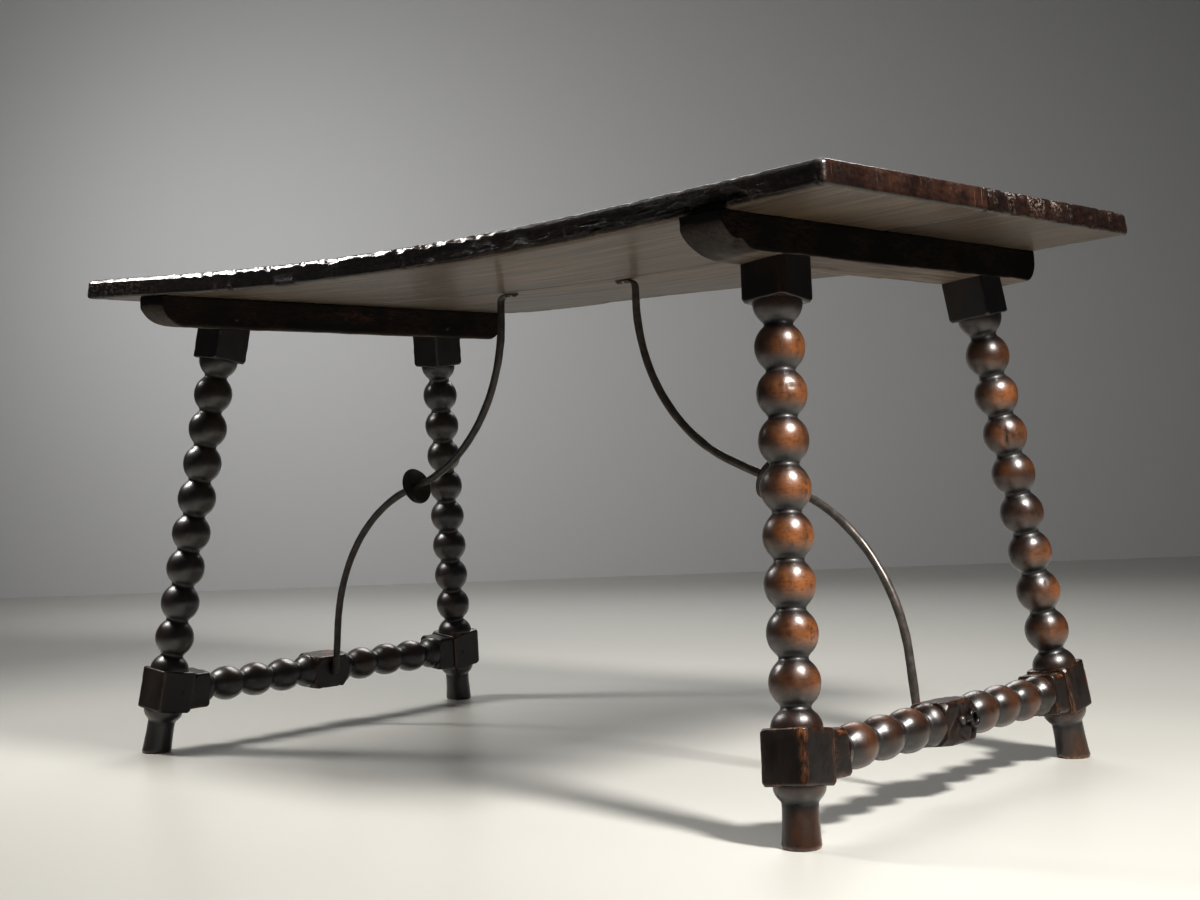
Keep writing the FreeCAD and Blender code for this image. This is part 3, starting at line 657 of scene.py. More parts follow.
def makeBoard(name, front, seed):
    s = inMetres(boards)
    low = -halfWidth if front else seamY + s["gap"] / 2
    high = seamY - s["gap"] / 2 if front else halfWidth
    outer, seam = (low, high) if front else (high, low)
    inwards = 1 if front else -1
    u, v, t, quads = boxSkin(*boardLines(front, low, high))
    p = roundBoard(u, v, t, low, high, outer, seam)
    place = p + seed
    toOuter = np.abs(p[:, 1] - outer)
    toEnd = halfLength - np.abs(p[:, 0])
    lowSide = fade(p[:, 2], boards["lowReach"])
    topSide = fade(thickness - p[:, 2], boards["topReach"])
    nearWave = fade(toOuter, boards["waveReach"])
    nearKnock = fade(toOuter, boards["knockReach"])
    # the front's upper arris is worn to a bevel, broken up from the middle on:
    # points beyond the bevel's plane move back to it
    if front:
        nibble = rough(onLine(p[:, 0] + boards["nibbleSlant"] * p[:, 2]), 75, 2, seed + 23)
        least = boards["bevelRight"]
        bevel = s["bevel"] * (least + (1 - least) * between(boards["bevelSpan"], p[:, 0]))
        bevel = bevel * (1 + boards["nibble"] * nibble * between(boards["nibbleSpan"], p[:, 0]))
        planeY, planeZ = boards["bevelPlane"]
        beyond = np.maximum(bevel - toOuter * planeY - (thickness - p[:, 2]) * planeZ, 0)
        p[:, 1] += planeY * beyond
        p[:, 2] -= planeZ * beyond
    # slow waves of the sawn and planed faces
    p[:, 2] += noise(place * [0.25, 1, 0], 9, seed) * s["topWave"] * (t > thickness * 0.5)
    p[:, 2] += rough(place * [0.12, 1, 0], 55, 3, seed + 2) * s["underWave"] * (t < tiny)
    wave = noise(place * [1, 0, 0.6], 7, seed + 3) * s["edgeWave"]
    wave = wave + rough(place * [1, 0, 3], 30, 3, seed + 4) * s["edgeRipple"]
    p[:, 1] += inwards * np.abs(wave) * nearWave
    # chips along the lower arris: where the noise stands high, the edge is pushed in
    frayed = 0.6 + 0.6 * between(boards["frayedSpan"], p[:, 0])
    cut = peaks(rough(place * [1, 0.3, 0], 45, 3, seed + 6), 0.2) * frayed * s["chip"] * lowSide ** 0.7
    p[:, 2] += cut * fade(toOuter, boards["chipReach"])
    p[:, 1] += inwards * cut * boards["chipIn"] * nearWave
    # the torn stretch of the lower front edge: a ragged bevel in thin layers, tallest beside the bearer
    ragged = sum(share * bell(p[:, 0], along * mm, width * mm) for along, width, share in boards["tears"])
    tall = ragged * (0.95 + 0.6 * rough(place * [1, 0, 0], 55, 4, seed + 9))
    tall = np.maximum(tall, 1e-3) * s["tear"] * front
    depth = np.clip(1 - t / np.maximum(tall, 1e-6), 0, 1)
    layer = 0.85 + 0.45 * rough(place * [0.2, 0, 1], 360, 2, seed + 10)
    layer = layer + 0.35 * noise(place * [1, 0, 0.4], 150, seed + 14)
    tear = np.sqrt(depth) * tall * layer
    p[:, 1] += inwards * tear * nearWave
    p[:, 2] += boards["tearUp"] * tall * depth * layer * fade(toOuter, boards["tearReach"])
    # cracks along the front face, knocks along the upper arris
    crack = peaks(rough(place * [0.12, 0, 1], 200, 3, seed + 19), 0.16) * front
    crack = crack * between(boards["crackFrom"], p[:, 0]) * between(boards["crackTo"], p[:, 0])
    crack = crack * smooth(0.95, 0.4, p[:, 2] / thickness)
    p[:, 1] += inwards * crack * s["crack"] * nearKnock
    knocks = np.abs(rough(place, 140, 2, seed + 15)) * s["knock"]
    knocks = knocks + peaks(rough(place * [1, 0.3, 0], 32, 3, seed + 7), 0.28) * s["chipTop"]
    knocks = knocks + peaks(noise(place * [1, 0, 0], 85, seed + 16), 0.1) * s["bite"]
    p[:, 2] -= knocks * topSide * nearKnock
    # the ends: the front board's is smooth, the back board's is split and chipped
    endRough = 0.15 + 0.1 * between(boards["splitSpan"], p[:, 1]) if front else 1.0
    push = np.abs(rough(place * [0, 1, 1.3], 75, 3, seed + 11)) * s["split"]
    push = push + peaks(noise(place * [0, 1, 0.2], 150, seed + 12), 0.25) * s["notch"]
    endChip = peaks(rough(place * [0, 1, 0], 85, 3, seed + 13), 0.02) * s["endChip"] * endRough
    endChip = endChip * (topSide + 0.6 * lowSide)
    p[:, 0] -= np.sign(p[:, 0]) * (push * endRough + endChip) * fade(toEnd, boards["endReach"])
    p[:, 2] += endChip * 0.4 * (lowSide - topSide) * fade(toEnd, boards["endChipReach"])
    x, y, z = p.T
    # the back edge has sagged less than the front
    bx, bz = onBoard(x, z)
    lift = s["backLift"] * smooth(s["liftFrom"], halfWidth, y)
    bz = bz + lift * between(boards["liftAlong"], np.abs(x - s["liftMiddle"]))
    # wear layers: the underside, rubbed arrises, torn wood, the end faces
    fromTop = thickness - t
    fromEnd = halfLength - np.abs(u)
    fromRim = between(boards["rimSpan"], np.abs(v - outer)) * between(boards["rimSpan"], fromEnd)
    under = between(boards["underSpan"], t) * fromRim
    nearFace = np.minimum(t, fromTop)
    toRim = np.minimum(toOuter, np.maximum(toEnd, 0))
    worn = fade(toRim + nearFace, boards["wornReach"])
    raw = np.clip((cut + tear) / s["rawCut"] + crack * 4, 0, 1) * fade(toOuter, boards["rawReach"])
    dullArris = between(boards["dullSpan"], x) * fade(fromTop + toOuter, boards["topReach"]) * 0.75 * front
    raw = np.maximum(raw, dullArris)
    ends = between(boards["endSpan"], fromEnd) * (1.0 if front else 0.3)
    # pale nicks along the upper arris of the ends, most on the back board: pale chips and painted glints
    nicks = fade(toEnd, boards["wornReach"]) * fade(fromTop, boards["nickGlintReach"]) * (0.2 if front else 0.6)
    nicks = nicks * smooth(-0.1, 0.35, noise(place * [0, 1, 0], 66, seed + 21))
    nicks = nicks * (0.45 + 0.9 * bell(y, s["nickGlintY"], s["nickGlintWide"]))
    grime = fade(np.abs(y - seam), boards["seamGrime"])
    if front:
        # fine specks on the front face, most at its left end and along the upper arris on the right:
        # painted glints and pale scratches
        rightArrisGlints = bell(x, s["glintSpeckX"], s["nickGlintWide"]) * topSide
        glintSpecks = 0.05 + 0.16 * between(boards["glintSpeckSpan"], x) + 0.5 * rightArrisGlints
        glintSpecks = glintSpecks * fade(toOuter, boards["wornReach"]) * between(boards["glintSpeckTop"], fromTop)
        nicks = np.maximum(nicks, glintSpecks)
    else:
        # the underside of the back board is darker beside the bearers: painted shade
        shadeDark = bell(np.abs(x), s["bearerShadowX"], s["bearerShadowWide"]) * between(boards["bearerShadowAcross"], y) * under
        grime = np.maximum(grime, 0.5 * shadeDark)
    grain = np.stack([y, z, x], -1) + seed * np.array(boards["grainShift"])
    return makePiece(name, "top_walnut", np.stack([bx, y, bz], -1), quads, sharp=33, grain=grain,
                     worn=worn, under=under, raw=raw, ends=ends, nicks=nicks, grime=grime)


def fillet(corners, reaches, step=3 * mm):
    # a path of straight runs joined by arcs; reach is the length of each run given up to its arc
    path = [corners[:1]]
    for n in range(1, len(corners) - 1):
        back = corners[n - 1] - corners[n]
        on = corners[n + 1] - corners[n]
        back = back / np.linalg.norm(back)
        on = on / np.linalg.norm(on)
        half = math.acos(np.clip(back @ on, -1, 1)) / 2
        radius = reaches[n - 1] * math.tan(half)
        bisect = (back + on) / np.linalg.norm(back + on)
        centre = corners[n] + bisect * radius / math.sin(half)
        start = corners[n] + back * reaches[n - 1] - centre
        turn = math.pi - 2 * half
        a = np.linspace(0, turn, max(6, int(turn * radius / step)))[:, None]
        path.append(centre + start * np.cos(a) - back * radius * np.sin(a))
    path.append(corners[-1:])
    path = np.concatenate(path)
    length = np.concatenate([[0], np.cumsum(np.linalg.norm(np.diff(path, axis=0), axis=1))])
    return path, length


def directions(path):
    tangent = np.gradient(path, axis=0)
    return tangent / np.linalg.norm(tangent, axis=1, keepdims=True)


def sweep(path, normal, binormal, a, b, segments=28):
    # an ellipse with half axes a and b carried along the path; returns rings (r, s, 3)
    angle = np.linspace(0, 2 * math.pi, segments, endpoint=False)
    offset = normal[:, None] * (a[:, None] * np.cos(angle))[..., None]
    return path[:, None] + offset + binormal[:, None] * (b[:, None] * np.sin(angle))[..., None]


def roundEnd(share):
    # a quarter circle: nearly closed at 0, the full width from 1 on
    return np.sqrt(np.clip(1 - (1 - np.clip(share, 0, 1)) ** 2, 0.02, 1))


# one iron stay: flattened lug, S-curved round bar, lower end through the block, curled eye
stay = {
    "radius": 5.8, "topReach": {1: 127, -1: 147}, "slope": {1: 21.5, -1: 16.5},
    "collarX": 360, "collarZ": 403.5, "topStraight": 27, "footStraight": 72, "footBend": 10,
    "across": -36, "exit": 5, "leastRun": 5, "lugLength": 38, "lugHalf": 8, "lugThick": 2, "lugBend": 12,
    "lugFade": 8, "lugTaper": 34, "lugGap": 0.1, "eyeRings": 70, "eyeSegments": 20, "eyeEnd": 0.05,
    "eyeRadius": 9, "eyeWire": 2.8, "eyeOffset": 24, "eyeGap": 0.4, "eyeLead": 0.18, "eyeTurn": 345,
    # per side: the left stay is darkened, which is painted shade
    "endRound": 4, "rings": 420, "hammered": 0.05, "grime": {1: 0.0, -1: 0.4}, "eyeGrime": 0.75,
}


def barPoint(across, up):
    # a point of the middle plane, measured on the right leg frame
    return onTrestle(1, across, 0, up)


def stayCorners(side):
    # the bar's corners in the middle plane, worked out for the right side
    s = inMetres(stay)
    reach = stay["topReach"][side] * mm
    slope = math.radians(stay["slope"][side])
    middle = np.array([s["collarX"], 0, s["collarZ"]])
    run = np.array([math.cos(slope), 0, -math.sin(slope)])
    upper = middle + run * (reach - middle[0]) / run[0]
    low = barPoint(s["across"], 0)
    ray = barPoint(s["across"], 1) - low
    k = np.linalg.solve(np.array([[run[0], -ray[0]], [run[2], -ray[2]]]), (low - middle)[[0, 2]])
    lower = middle + run * k[0]
    foot = barPoint(s["across"], stretcher["up"] * mm)
    out = barPoint(stretcher["square"] * mm + s["exit"], stretcher["up"] * mm)
    top = np.array([reach, 0, float(underside(reach)) - s["lugThick"] - s["lugGap"]])
    tipX = reach - s["lugLength"]
    tip = np.array([tipX, 0, float(underside(tipX)) - s["lugThick"]])
    upperReach = min(top[2] - upper[2] - s["topStraight"], np.linalg.norm(middle - upper) - s["leastRun"])
    lowerReach = min(np.linalg.norm(lower - foot) - s["footBend"] - s["footStraight"],
                     np.linalg.norm(lower - middle) - s["leastRun"])
    reaches = [s["lugBend"], upperReach, lowerReach, s["footBend"]]
    return np.stack([tip, top, upper, lower, foot, out]), reaches, run, middle


def stayEye():
    # the curled eye against the block's outer face: a straight lead, then most of a circle
    s = inMetres(stay)
    lead = stay["eyeLead"]
    t = np.linspace(0, 1, stay["eyeRings"])
    turn = np.clip((t - lead) / (1 - lead), 0, 1) * math.radians(stay["eyeTurn"])
    straight = np.clip(t / lead, 0, 1) * (s["eyeOffset"] - s["eyeRadius"])
    y = np.where(t < lead, straight, s["eyeOffset"] - s["eyeRadius"] * np.cos(turn))
    up = stretcher["up"] * mm - s["eyeRadius"] * np.sin(turn)
    path = onTrestle(1, stretcher["square"] * mm + s["eyeWire"] + s["eyeGap"], y, up)
    outward = np.tile(onTrestle(1, 1, 0, 0) - onTrestle(1, 0, 0, 0), (len(t), 1))
    wire = s["eyeWire"] * (1.25 - 0.35 * t) * roundEnd((1 - t) / stay["eyeEnd"])
    return sweep(path, outward, np.cross(outward, directions(path)), wire, wire, stay["eyeSegments"])


def makeStay(name, side, seed):
    s = inMetres(stay)
    corners, reaches, _, _ = stayCorners(side)
    path, length = fillet(corners, reaches)
    # evenly respaced, with the straight runs filled in
    d = np.linspace(0, length[-1], stay["rings"])
    path = np.stack([np.interp(d, length, path[:, k]) for k in range(3)], -1)
    binormal = np.tile([0, 1.0, 0], (len(path), 1))
    normal = np.cross(binormal, directions(path))
    radius = s["radius"] * (1 + stay["hammered"] * noise(onLine(d), 30, seed))
    lug = smooth(s["lugLength"] + s["lugFade"], s["lugLength"] - s["lugFade"], d)
    taper = smooth(0, s["lugTaper"], d)
    a = radius * (1 - lug) + s["lugThick"] * lug * (0.7 + 0.3 * taper)
    b = radius * (1 - lug) + s["lugHalf"] * lug * (0.5 + 0.5 * taper)
    end = roundEnd((d[-1] - d) / s["endRound"])
    rings = sweep(path, normal, binormal, a * end, b * roundEnd(d / s["endRound"]) * end)
    # hammer flats along the bar
    rings = rings + noise(rings + seed, 75, seed)[..., None] * (rings - path[:, None]) * stay["hammered"]
    bar = ringPoints(rings)
    quads, fans = ringFaces(*rings.shape[:2])
    eyeRings = stayEye()
    eyeQuads, eyeFans = ringFaces(*eyeRings.shape[:2], start=len(bar))
    points = np.concatenate([bar, ringPoints(eyeRings)]) * np.array([side, 1, 1])
    grime = np.where(np.arange(len(points)) < len(bar), stay["grime"][side], stay["eyeGrime"])
    return makePiece(name, "forged_iron", points, np.concatenate([quads, eyeQuads]),
                     np.concatenate([fans, eyeFans]), flip=side < 0, sharp=50,
                     grain=points + seed, grime=grime)


def lathe(middle, axis, radii, heights, seed, segments, uneven):
    # an outline of radii and heights turned about an axis in the middle plane, closed at both ends
    axis = axis / np.linalg.norm(axis)
    cross = np.array([0, 1.0, 0])
    angle = np.linspace(0, 2 * math.pi, segments, endpoint=False)
    circle = np.stack([np.cos(angle), np.sin(angle), 0 * angle + seed], -1)
    r = radii[:, None] * (1 + uneven * noise(circle, 1.7, seed))
    rings = middle + cross * (r * np.cos(angle))[..., None]
    rings = rings + np.cross(axis, cross) * (r * np.sin(angle))[..., None] + axis * heights[:, None, None]
    return ringPoints(rings), *ringFaces(*rings.shape[:2])


# the dished collar on each stay: a thin bowl, hollow towards the middle of the table
collar = {
    "radius": 29, "rim": 2, "thick": 5, "dish": 8, "bow": 0.35, "hole": 5.3, "lip": 0.5, "hammered": 0.4,
    "uneven": 0.012, "segments": 64, "grime": 0.6,
}


def makeCollar(name, side, seed):
    s = inMetres(collar)
    _, _, run, middle = stayCorners(side)
    t = np.linspace(0, 1, 15)
    # outside from the hole to the rim, over the rim, back down the inside of the bowl
    out = s["hole"] + (s["radius"] - s["hole"]) * t
    bowl = s["dish"] * (t ** 2 * (1 - collar["bow"]) + t * collar["bow"])
    wall = s["thick"] + (s["rim"] - s["thick"]) * t
    radii = np.concatenate([out, [s["radius"] + s["lip"]], out[::-1]])
    heights = np.concatenate([bowl, [bowl[-1] + wall[-1] / 2], (bowl + wall)[::-1]]) - s["thick"] / 2
    points, quads, fans = lathe(middle, -run, radii, heights, seed, collar["segments"], collar["uneven"])
    points = points + noise(points, 60, seed)[:, None] * s["hammered"]
    points = points * np.array([side, 1, 1])
    return makePiece(name, "forged_iron", points, quads, fans, flip=side < 0, sharp=45, grain=points + seed,
                     grime=np.full(len(points), collar["grime"]))


# nail heads on the top over the bearers, nail heads under the lugs, peg ends on the inner faces
fixings = {
    "nail": (6.5, 2.6), "lugNail": (4.5, 2.2), "peg": (4, 1.2),  # radius and height
    "nailShares": (-0.82, -0.4, 0.4, 0.82), "lugShares": (0.42, 0.8),
    "legTenon": 33.84, "stretcherPegIn": 21.1, "sunk": 1.2, "hammered": 0.25, "uneven": 0.09,
    "segments": 24, "worn": 0.5,
}


def makeHeads(name, slotName, places, axis, kind, seed):
    # a set of domed heads (nails) or rounded ends (pegs), one lathe outline for each place
    s = inMetres(fixings)
    radius, height = np.array(fixings[kind]) * mm
    t = np.linspace(0, math.pi / 2, 8)[:-1]
    radii = np.concatenate([[radius * 0.6, radius * 0.96], radius * np.cos(t), [radius * 0.05]])
    heights = np.concatenate([[-s["sunk"], -s["sunk"]], height * np.sin(t), [height]])
    parts = []
    start = 0
    for n, middle in enumerate(places):
        head = lathe(middle, axis, radii, heights, seed + n, fixings["segments"], fixings["uneven"])
        parts.append((head[0], head[1] + start, head[2] + start))
        start += len(head[0])
    points, quads, fans = (np.concatenate(k) for k in zip(*parts))
    points = points + noise(points, 260, seed)[:, None] * s["hammered"]
    zero = np.zeros(len(points))
    return makePiece(name, slotName, points, quads, fans, sharp=50, grain=points + seed,
                     worn=zero + fixings["worn"], grime=zero)


pieces = {}
pieces["top_board_front"] = makeBoard("boardFront", True, 3)
pieces["top_board_back"] = makeBoard("boardBack", False, 5)
print("boards made")
sides = {"right": 1, "left": -1}
for word, side in sides.items():
    title = word.title()
    pieces["bearer_" + word] = makeBearer("bearer" + title, side, 11 + side)
    pieces["leg_front_" + word] = makeLeg("legFront" + title, side, -1, 21 + side)
    pieces["leg_back_" + word] = makeLeg("legBack" + title, side, 1, 31 + side)
    pieces["stretcher_" + word] = makeStretcher("stretcher" + title, side, 41 + side)
    pieces["iron_stay_" + word] = makeStay("stay" + title, side, 51 + side)
    pieces["stay_collar_" + word] = makeCollar("collar" + title, side, 61 + side)
print("leg frames and stays made")

for word, side in sides.items():
    title = word.title()
    bx, bz = onBoard(bearerX, thickness)
    places = [np.array([side * bx, share * bearerHalf, bz]) for share in fixings["nailShares"]]
    tilt = np.array([-side * math.sin(endSlope), 0, math.cos(endSlope)])
    nails = makeHeads("bearerNails" + title, "forged_iron", places, tilt, "nail", 71 + side)
    pieces["bearer_nails_" + word] = nails
    places = []
    for share in fixings["lugShares"]:
        x = (stay["topReach"][side] - share * stay["lugLength"]) * mm
        places.append(np.array([side * x, 0, float(underside(x)) - stay["lugThick"] * 2 * mm]))
    down = np.array([0, 0, -1.0])
    nails = makeHeads("lugNails" + title, "forged_iron", places, down, "lugNail", 81 + side)
    pieces["stay_lug_nails_" + word] = nails
    # pegs half way along the tenons
    inwards = onTrestle(side, -1, 0, 0) - onTrestle(side, 0, 0, 0)
    up = bearerBottom + fixings["legTenon"] * mm * math.cos(splay) / 2
    y = footY - up * math.tan(splay)
    places = [onTrestle(side, -table["bearerWidth"] / 2 * mm, d * y, up) for d in (-1, 1)]
    pegs = makeHeads("legPegs" + title, "peg_oak", places, inwards, "peg", 91 + side)
    pieces["leg_tenon_pegs_" + word] = pegs
    up = stretcher["up"] * mm
    legFace = footY - up * math.tan(splay) - leg["square"] * mm / math.cos(splay)
    y = legFace + fixings["stretcherPegIn"] * mm
    places = [onTrestle(side, -leg["square"] * mm, d * y, up) for d in (-1, 1)]
    pegs = makeHeads("stretcherPegs" + title, "peg_oak", places, inwards, "peg", 101 + side)
    pieces["stretcher_tenon_pegs_" + word] = pegs
for node, piece in pieces.items():
    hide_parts(node)
print("fixings made, pieces:", len(pieces))


def newMaterial(name):
    material = bpy.data.materials.new(name)
    material.use_nodes = True
    return material, material.node_tree, material.node_tree.nodes["Principled BSDF"]


def attribute(tree, name, output="Fac"):
    node = tree.nodes.new("ShaderNodeAttribute")
    node.attribute_name = name
    return node.outputs[output]


def spots(tree, vector, scale, detail=4, roughness=0.55, shift=0.0):
    # noise over stretched coordinates
    mapping = tree.nodes.new("ShaderNodeMapping")
    mapping.inputs["Scale"].default_value = scale
    mapping.inputs["Location"].default_value = (shift, shift * 1.7, shift * 0.6)
    node = tree.nodes.new("ShaderNodeTexNoise")
    node.inputs["Scale"].default_value = 1
    node.inputs["Detail"].default_value = detail
    node.inputs["Roughness"].default_value = roughness
    tree.links.new(vector, mapping.inputs["Vector"])
    tree.links.new(mapping.outputs["Vector"], node.inputs["Vector"])
    return node.outputs["Fac"]


def remap(tree, value, low, high, toLow=0.0, toHigh=1.0):
    node = tree.nodes.new("ShaderNodeMapRange")
    node.interpolation_type = "SMOOTHSTEP"
    for key, number in (("From Min", low), ("From Max", high), ("To Min", toLow), ("To Max", toHigh)):
        node.inputs[key].default_value = number
    tree.links.new(value, node.inputs["Value"])
    return node.outputs["Result"]


def sums(tree, kind, first, second):
    node = tree.nodes.new("ShaderNodeMath")
    node.operation = kind
    for socket, value in zip(node.inputs, (first, second)):
        if isinstance(value, (int, float)):
            socket.default_value = value
        else:
            tree.links.new(value, socket)
    return node.outputs[0]


def times(tree, first, second):
    return sums(tree, "MULTIPLY", first, second)


def blend(tree, factor, first, second):
    # between two colours, each a tuple or another node's colour
    node = tree.nodes.new("ShaderNodeMix")
    node.data_type = "RGBA"
    tree.links.new(factor, node.inputs[0])
    for socket, value in ((node.inputs[6], first), (node.inputs[7], second)):
        if isinstance(value, tuple):
            socket.default_value = (*value, 1)
        else:
            tree.links.new(value, socket)
    return node.outputs[2]


def bumps(tree, layers):
    # heights added one after the other: (value, strength, distance in metres)
    normal = None
    for value, strength, distance in layers:
        node = tree.nodes.new("ShaderNodeBump")
        node.inputs["Strength"].default_value = strength
        node.inputs["Distance"].default_value = distance
        tree.links.new(value, node.inputs["Height"])
        if normal is not None:
            tree.links.new(normal, node.inputs["Normal"])
        normal = node.outputs["Normal"]
    return normal


def grainPlace(tree, look):
    # the piece's own grain layer, or object coordinates turned so that the grain's long axis comes third
    if "grainAlong" not in look:
        return attribute(tree, "grain", "Vector")
    mapping = tree.nodes.new("ShaderNodeMapping")
    mapping.inputs["Rotation"].default_value = look["grainAlong"]
    tree.links.new(tree.nodes.new("ShaderNodeTexCoord").outputs["Object"], mapping.inputs["Vector"])
    return mapping.outputs["Vector"]


def underColour(tree, look, grain, grime):
    # bare, weathered undersides: grey-brown streaks, golden patches, dark stains, and painted shade beside
    # the bearers
    weather = spots(tree, grain, (210, 210, 5), 6, 0.65, 8.2)
    aged = blend(tree, remap(tree, weather, 0.3, 0.7), look["underDark"], look["under"])
    patina = remap(tree, spots(tree, grain, (5, 5, 3), 3, 0.5, 1.3), 0.45, 0.7)
    aged = blend(tree, times(tree, patina, remap(tree, weather, 0.4, 0.6)), aged, look["golden"])
    stain = remap(tree, spots(tree, grain, (34, 34, 3), 5, 0.62, 5.5), 0.5, 0.7, 0, 0.7)
    aged = blend(tree, stain, aged, look["underDark"])
    # darkened by the seam's dark joint and by painted shade beside the bearers
    return blend(tree, times(tree, grime, 0.9), aged, look["deep"])


def brokenColour(tree, look, grain, colour, torn, fleck):
    # torn wood, reddish end grain with fine scratches, pale nicks that are partly painted glints
    colour = blend(tree, times(tree, torn, remap(tree, fleck, 0.42, 0.62)), colour, look["raw"])
    endFace = attribute(tree, "ends")
    patch = remap(tree, spots(tree, grain, (16, 34, 14), 6, 0.72, 4.4), 0.4, 0.8)
    colour = blend(tree, times(tree, endFace, patch), colour, look["ends"])
    scratch = remap(tree, spots(tree, grain, (640, 18, 18), 2, 0.5, 2.9), 0.67, 0.74, 0, 0.6)
    colour = blend(tree, times(tree, endFace, scratch), colour, look["scratch"])
    # pale spots: nicks of bare wood and painted glints
    nick = remap(tree, spots(tree, grain, (230, 260, 150), 4, 0.7, 1.7), 0.51, 0.57)
    return blend(tree, times(tree, attribute(tree, "nicks"), nick), colour, look["nick"])


def walnut(name, look):
    # long grain along the third grain axis: dark ground, reddish mid tones, worn arrises, necks and shaded
    # pieces darkened with painted shade
    material, tree, shader = newMaterial(name)
    grain = grainPlace(tree, look)
    grime = attribute(tree, "grime")
    cloud = spots(tree, grain, (14, 14, 7), 3, 0.5, 3.1)
    streak = spots(tree, grain, (120, 120, 9), 6, 0.62, 0.7)
    pore = spots(tree, grain, (900, 900, 45), 3, 0.6, 1.9)
    fleck = spots(tree, grain, (260, 260, 75), 5, 0.7, 5.3)
    colour = blend(tree, remap(tree, streak, 0.32, 0.72), look["dark"], look["mid"])
    colour = blend(tree, times(tree, remap(tree, cloud, 0.38, 0.7), look["cloud"]), colour, look["light"])
    colour = blend(tree, remap(tree, pore, 0.62, 0.78, 0, 0.6), colour, look["deep"])
    if "band" in look:
        # the rubbed band, with painted light on lit sides and painted shade on ball tops and the left frame
        rubbedAndLit = times(tree, attribute(tree, "band"), remap(tree, cloud, 0.3, 0.68, 0.12, 1))
        colour = blend(tree, times(tree, rubbedAndLit, look["bandAmount"]), colour, look["band"])
    blotch = spots(tree, grain, look["blotch"], 6, 0.72, 9.4)
    colour = blend(tree, remap(tree, blotch, 0.48, 0.72, 0, 0.8), colour, look["deep"])
    mottle = spots(tree, grain, look["mottle"], 5, 0.7, 3.3)
    colour = blend(tree, remap(tree, mottle, 0.46, 0.7, 0, 0.55), colour, look["dark"])
    # the darkening layer: painted shade in the necks and on shaded pieces, a dark joint at the seam, darker
    # dents
    colour = blend(tree, times(tree, grime, 0.85), colour, look["deep"])
    patchy = remap(tree, spots(tree, grain, (22, 22, 10), 3, 0.5, 7.7), 0.42, 0.66, 0.08, 1)
    wear = times(tree, times(tree, attribute(tree, "worn"), remap(tree, fleck, 0.42, 0.62)), patchy)
    colour = blend(tree, times(tree, wear, look["wearAmount"]), colour, look["wear"])
    sheen = spots(tree, grain, (46, 46, 30 * look["along"]), 5, 0.6, 2.2)
    gloss = remap(tree, sheen, 0.3, 0.75, *look["gloss"])
    gloss = sums(tree, "ADD", gloss, remap(tree, grime, 0.6, 1, 0, 0.25))
    dings = spots(tree, grain, (70, 70, 50 * look["along"]), 4, 0.6, 6.1)
    bump = look["bump"]
    layers = [(dings, bump, 0.0012), (streak, bump * 0.6, 0.0005), (pore, bump * 0.5, 0.0002)]
    shader.inputs["Specular IOR Level"].default_value = look["specular"]
    shader.inputs["Coat Weight"].default_value = look["coat"]
    shader.inputs["Coat Roughness"].default_value = look["coatRough"]
    if "band" in look:
        # the round parts are polished, the square ones hardly at all
        polish = remap(tree, attribute(tree, "flat"), 0, 1, look["coat"], look["flatCoat"])
        tree.links.new(polish, shader.inputs["Coat Weight"])
    if "under" in look:
        below = attribute(tree, "under")
        colour = blend(tree, below, colour, underColour(tree, look, grain, grime))
        gloss = sums(tree, "ADD", gloss, times(tree, below, look["underRough"]))
    if "raw" in look:
        torn = attribute(tree, "raw")
        colour = brokenColour(tree, look, grain, colour, torn, fleck)
        gloss = sums(tree, "ADD", gloss, times(tree, torn, 0.6))
        tree.links.new(remap(tree, torn, 0.05, 0.6, look["coat"], 0), shader.inputs["Coat Weight"])
        crumbs = times(tree, torn, spots(tree, grain, (460, 460, 130), 5, 0.7, 8.8))
        layers.append((crumbs, 0.9, 0.004))
    tree.links.new(colour, shader.inputs["Base Color"])
    tree.links.new(gloss, shader.inputs["Roughness"])
    normal = bumps(tree, layers)
    tree.links.new(normal, shader.inputs["Normal"])
    tree.links.new(normal, shader.inputs["Coat Normal"])
    return material


turnedLook = {
    "deep": (0.0018, 0.0012, 0.0010), "dark": (0.0050, 0.0026, 0.0019), "mid": (0.0175, 0.0068, 0.0038),
    "light": (0.040, 0.0140, 0.0060), "cloud": 0.5, "wear": (0.36, 0.138, 0.050), "wearAmount": 0.8,
    "band": (0.330, 0.1230, 0.0370), "bandAmount": 0.86,
    "blotch": (55, 55, 40), "mottle": (150, 150, 420), "along": 1, "gloss": (0.28, 0.48), "specular": 0.6,
    "coat": 0.8, "flatCoat": 0.12, "coatRough": 0.36, "bump": 0.38,
}
topLook = {
    "deep": (0.0018, 0.0012, 0.0010), "dark": (0.0050, 0.0026, 0.0020), "mid": (0.0145, 0.0060, 0.0041),
    "light": (0.046, 0.0170, 0.0090), "cloud": 0.22, "wear": (0.12, 0.055, 0.028), "wearAmount": 0.3,
    "under": (0.165, 0.118, 0.076), "underDark": (0.044, 0.031, 0.022), "underRough": 0.25,
    "golden": (0.185, 0.120, 0.064), "raw": (0.0120, 0.0100, 0.0085), "ends": (0.046, 0.0205, 0.0120),
    "scratch": (0.20, 0.130, 0.090), "nick": (0.42, 0.37, 0.33),
    "blotch": (46, 46, 5), "mottle": (230, 230, 14), "along": 0.12, "gloss": (0.24, 0.34), "specular": 0.5,
    "coat": 0.25, "coatRough": 0.14, "bump": 0.7,
}
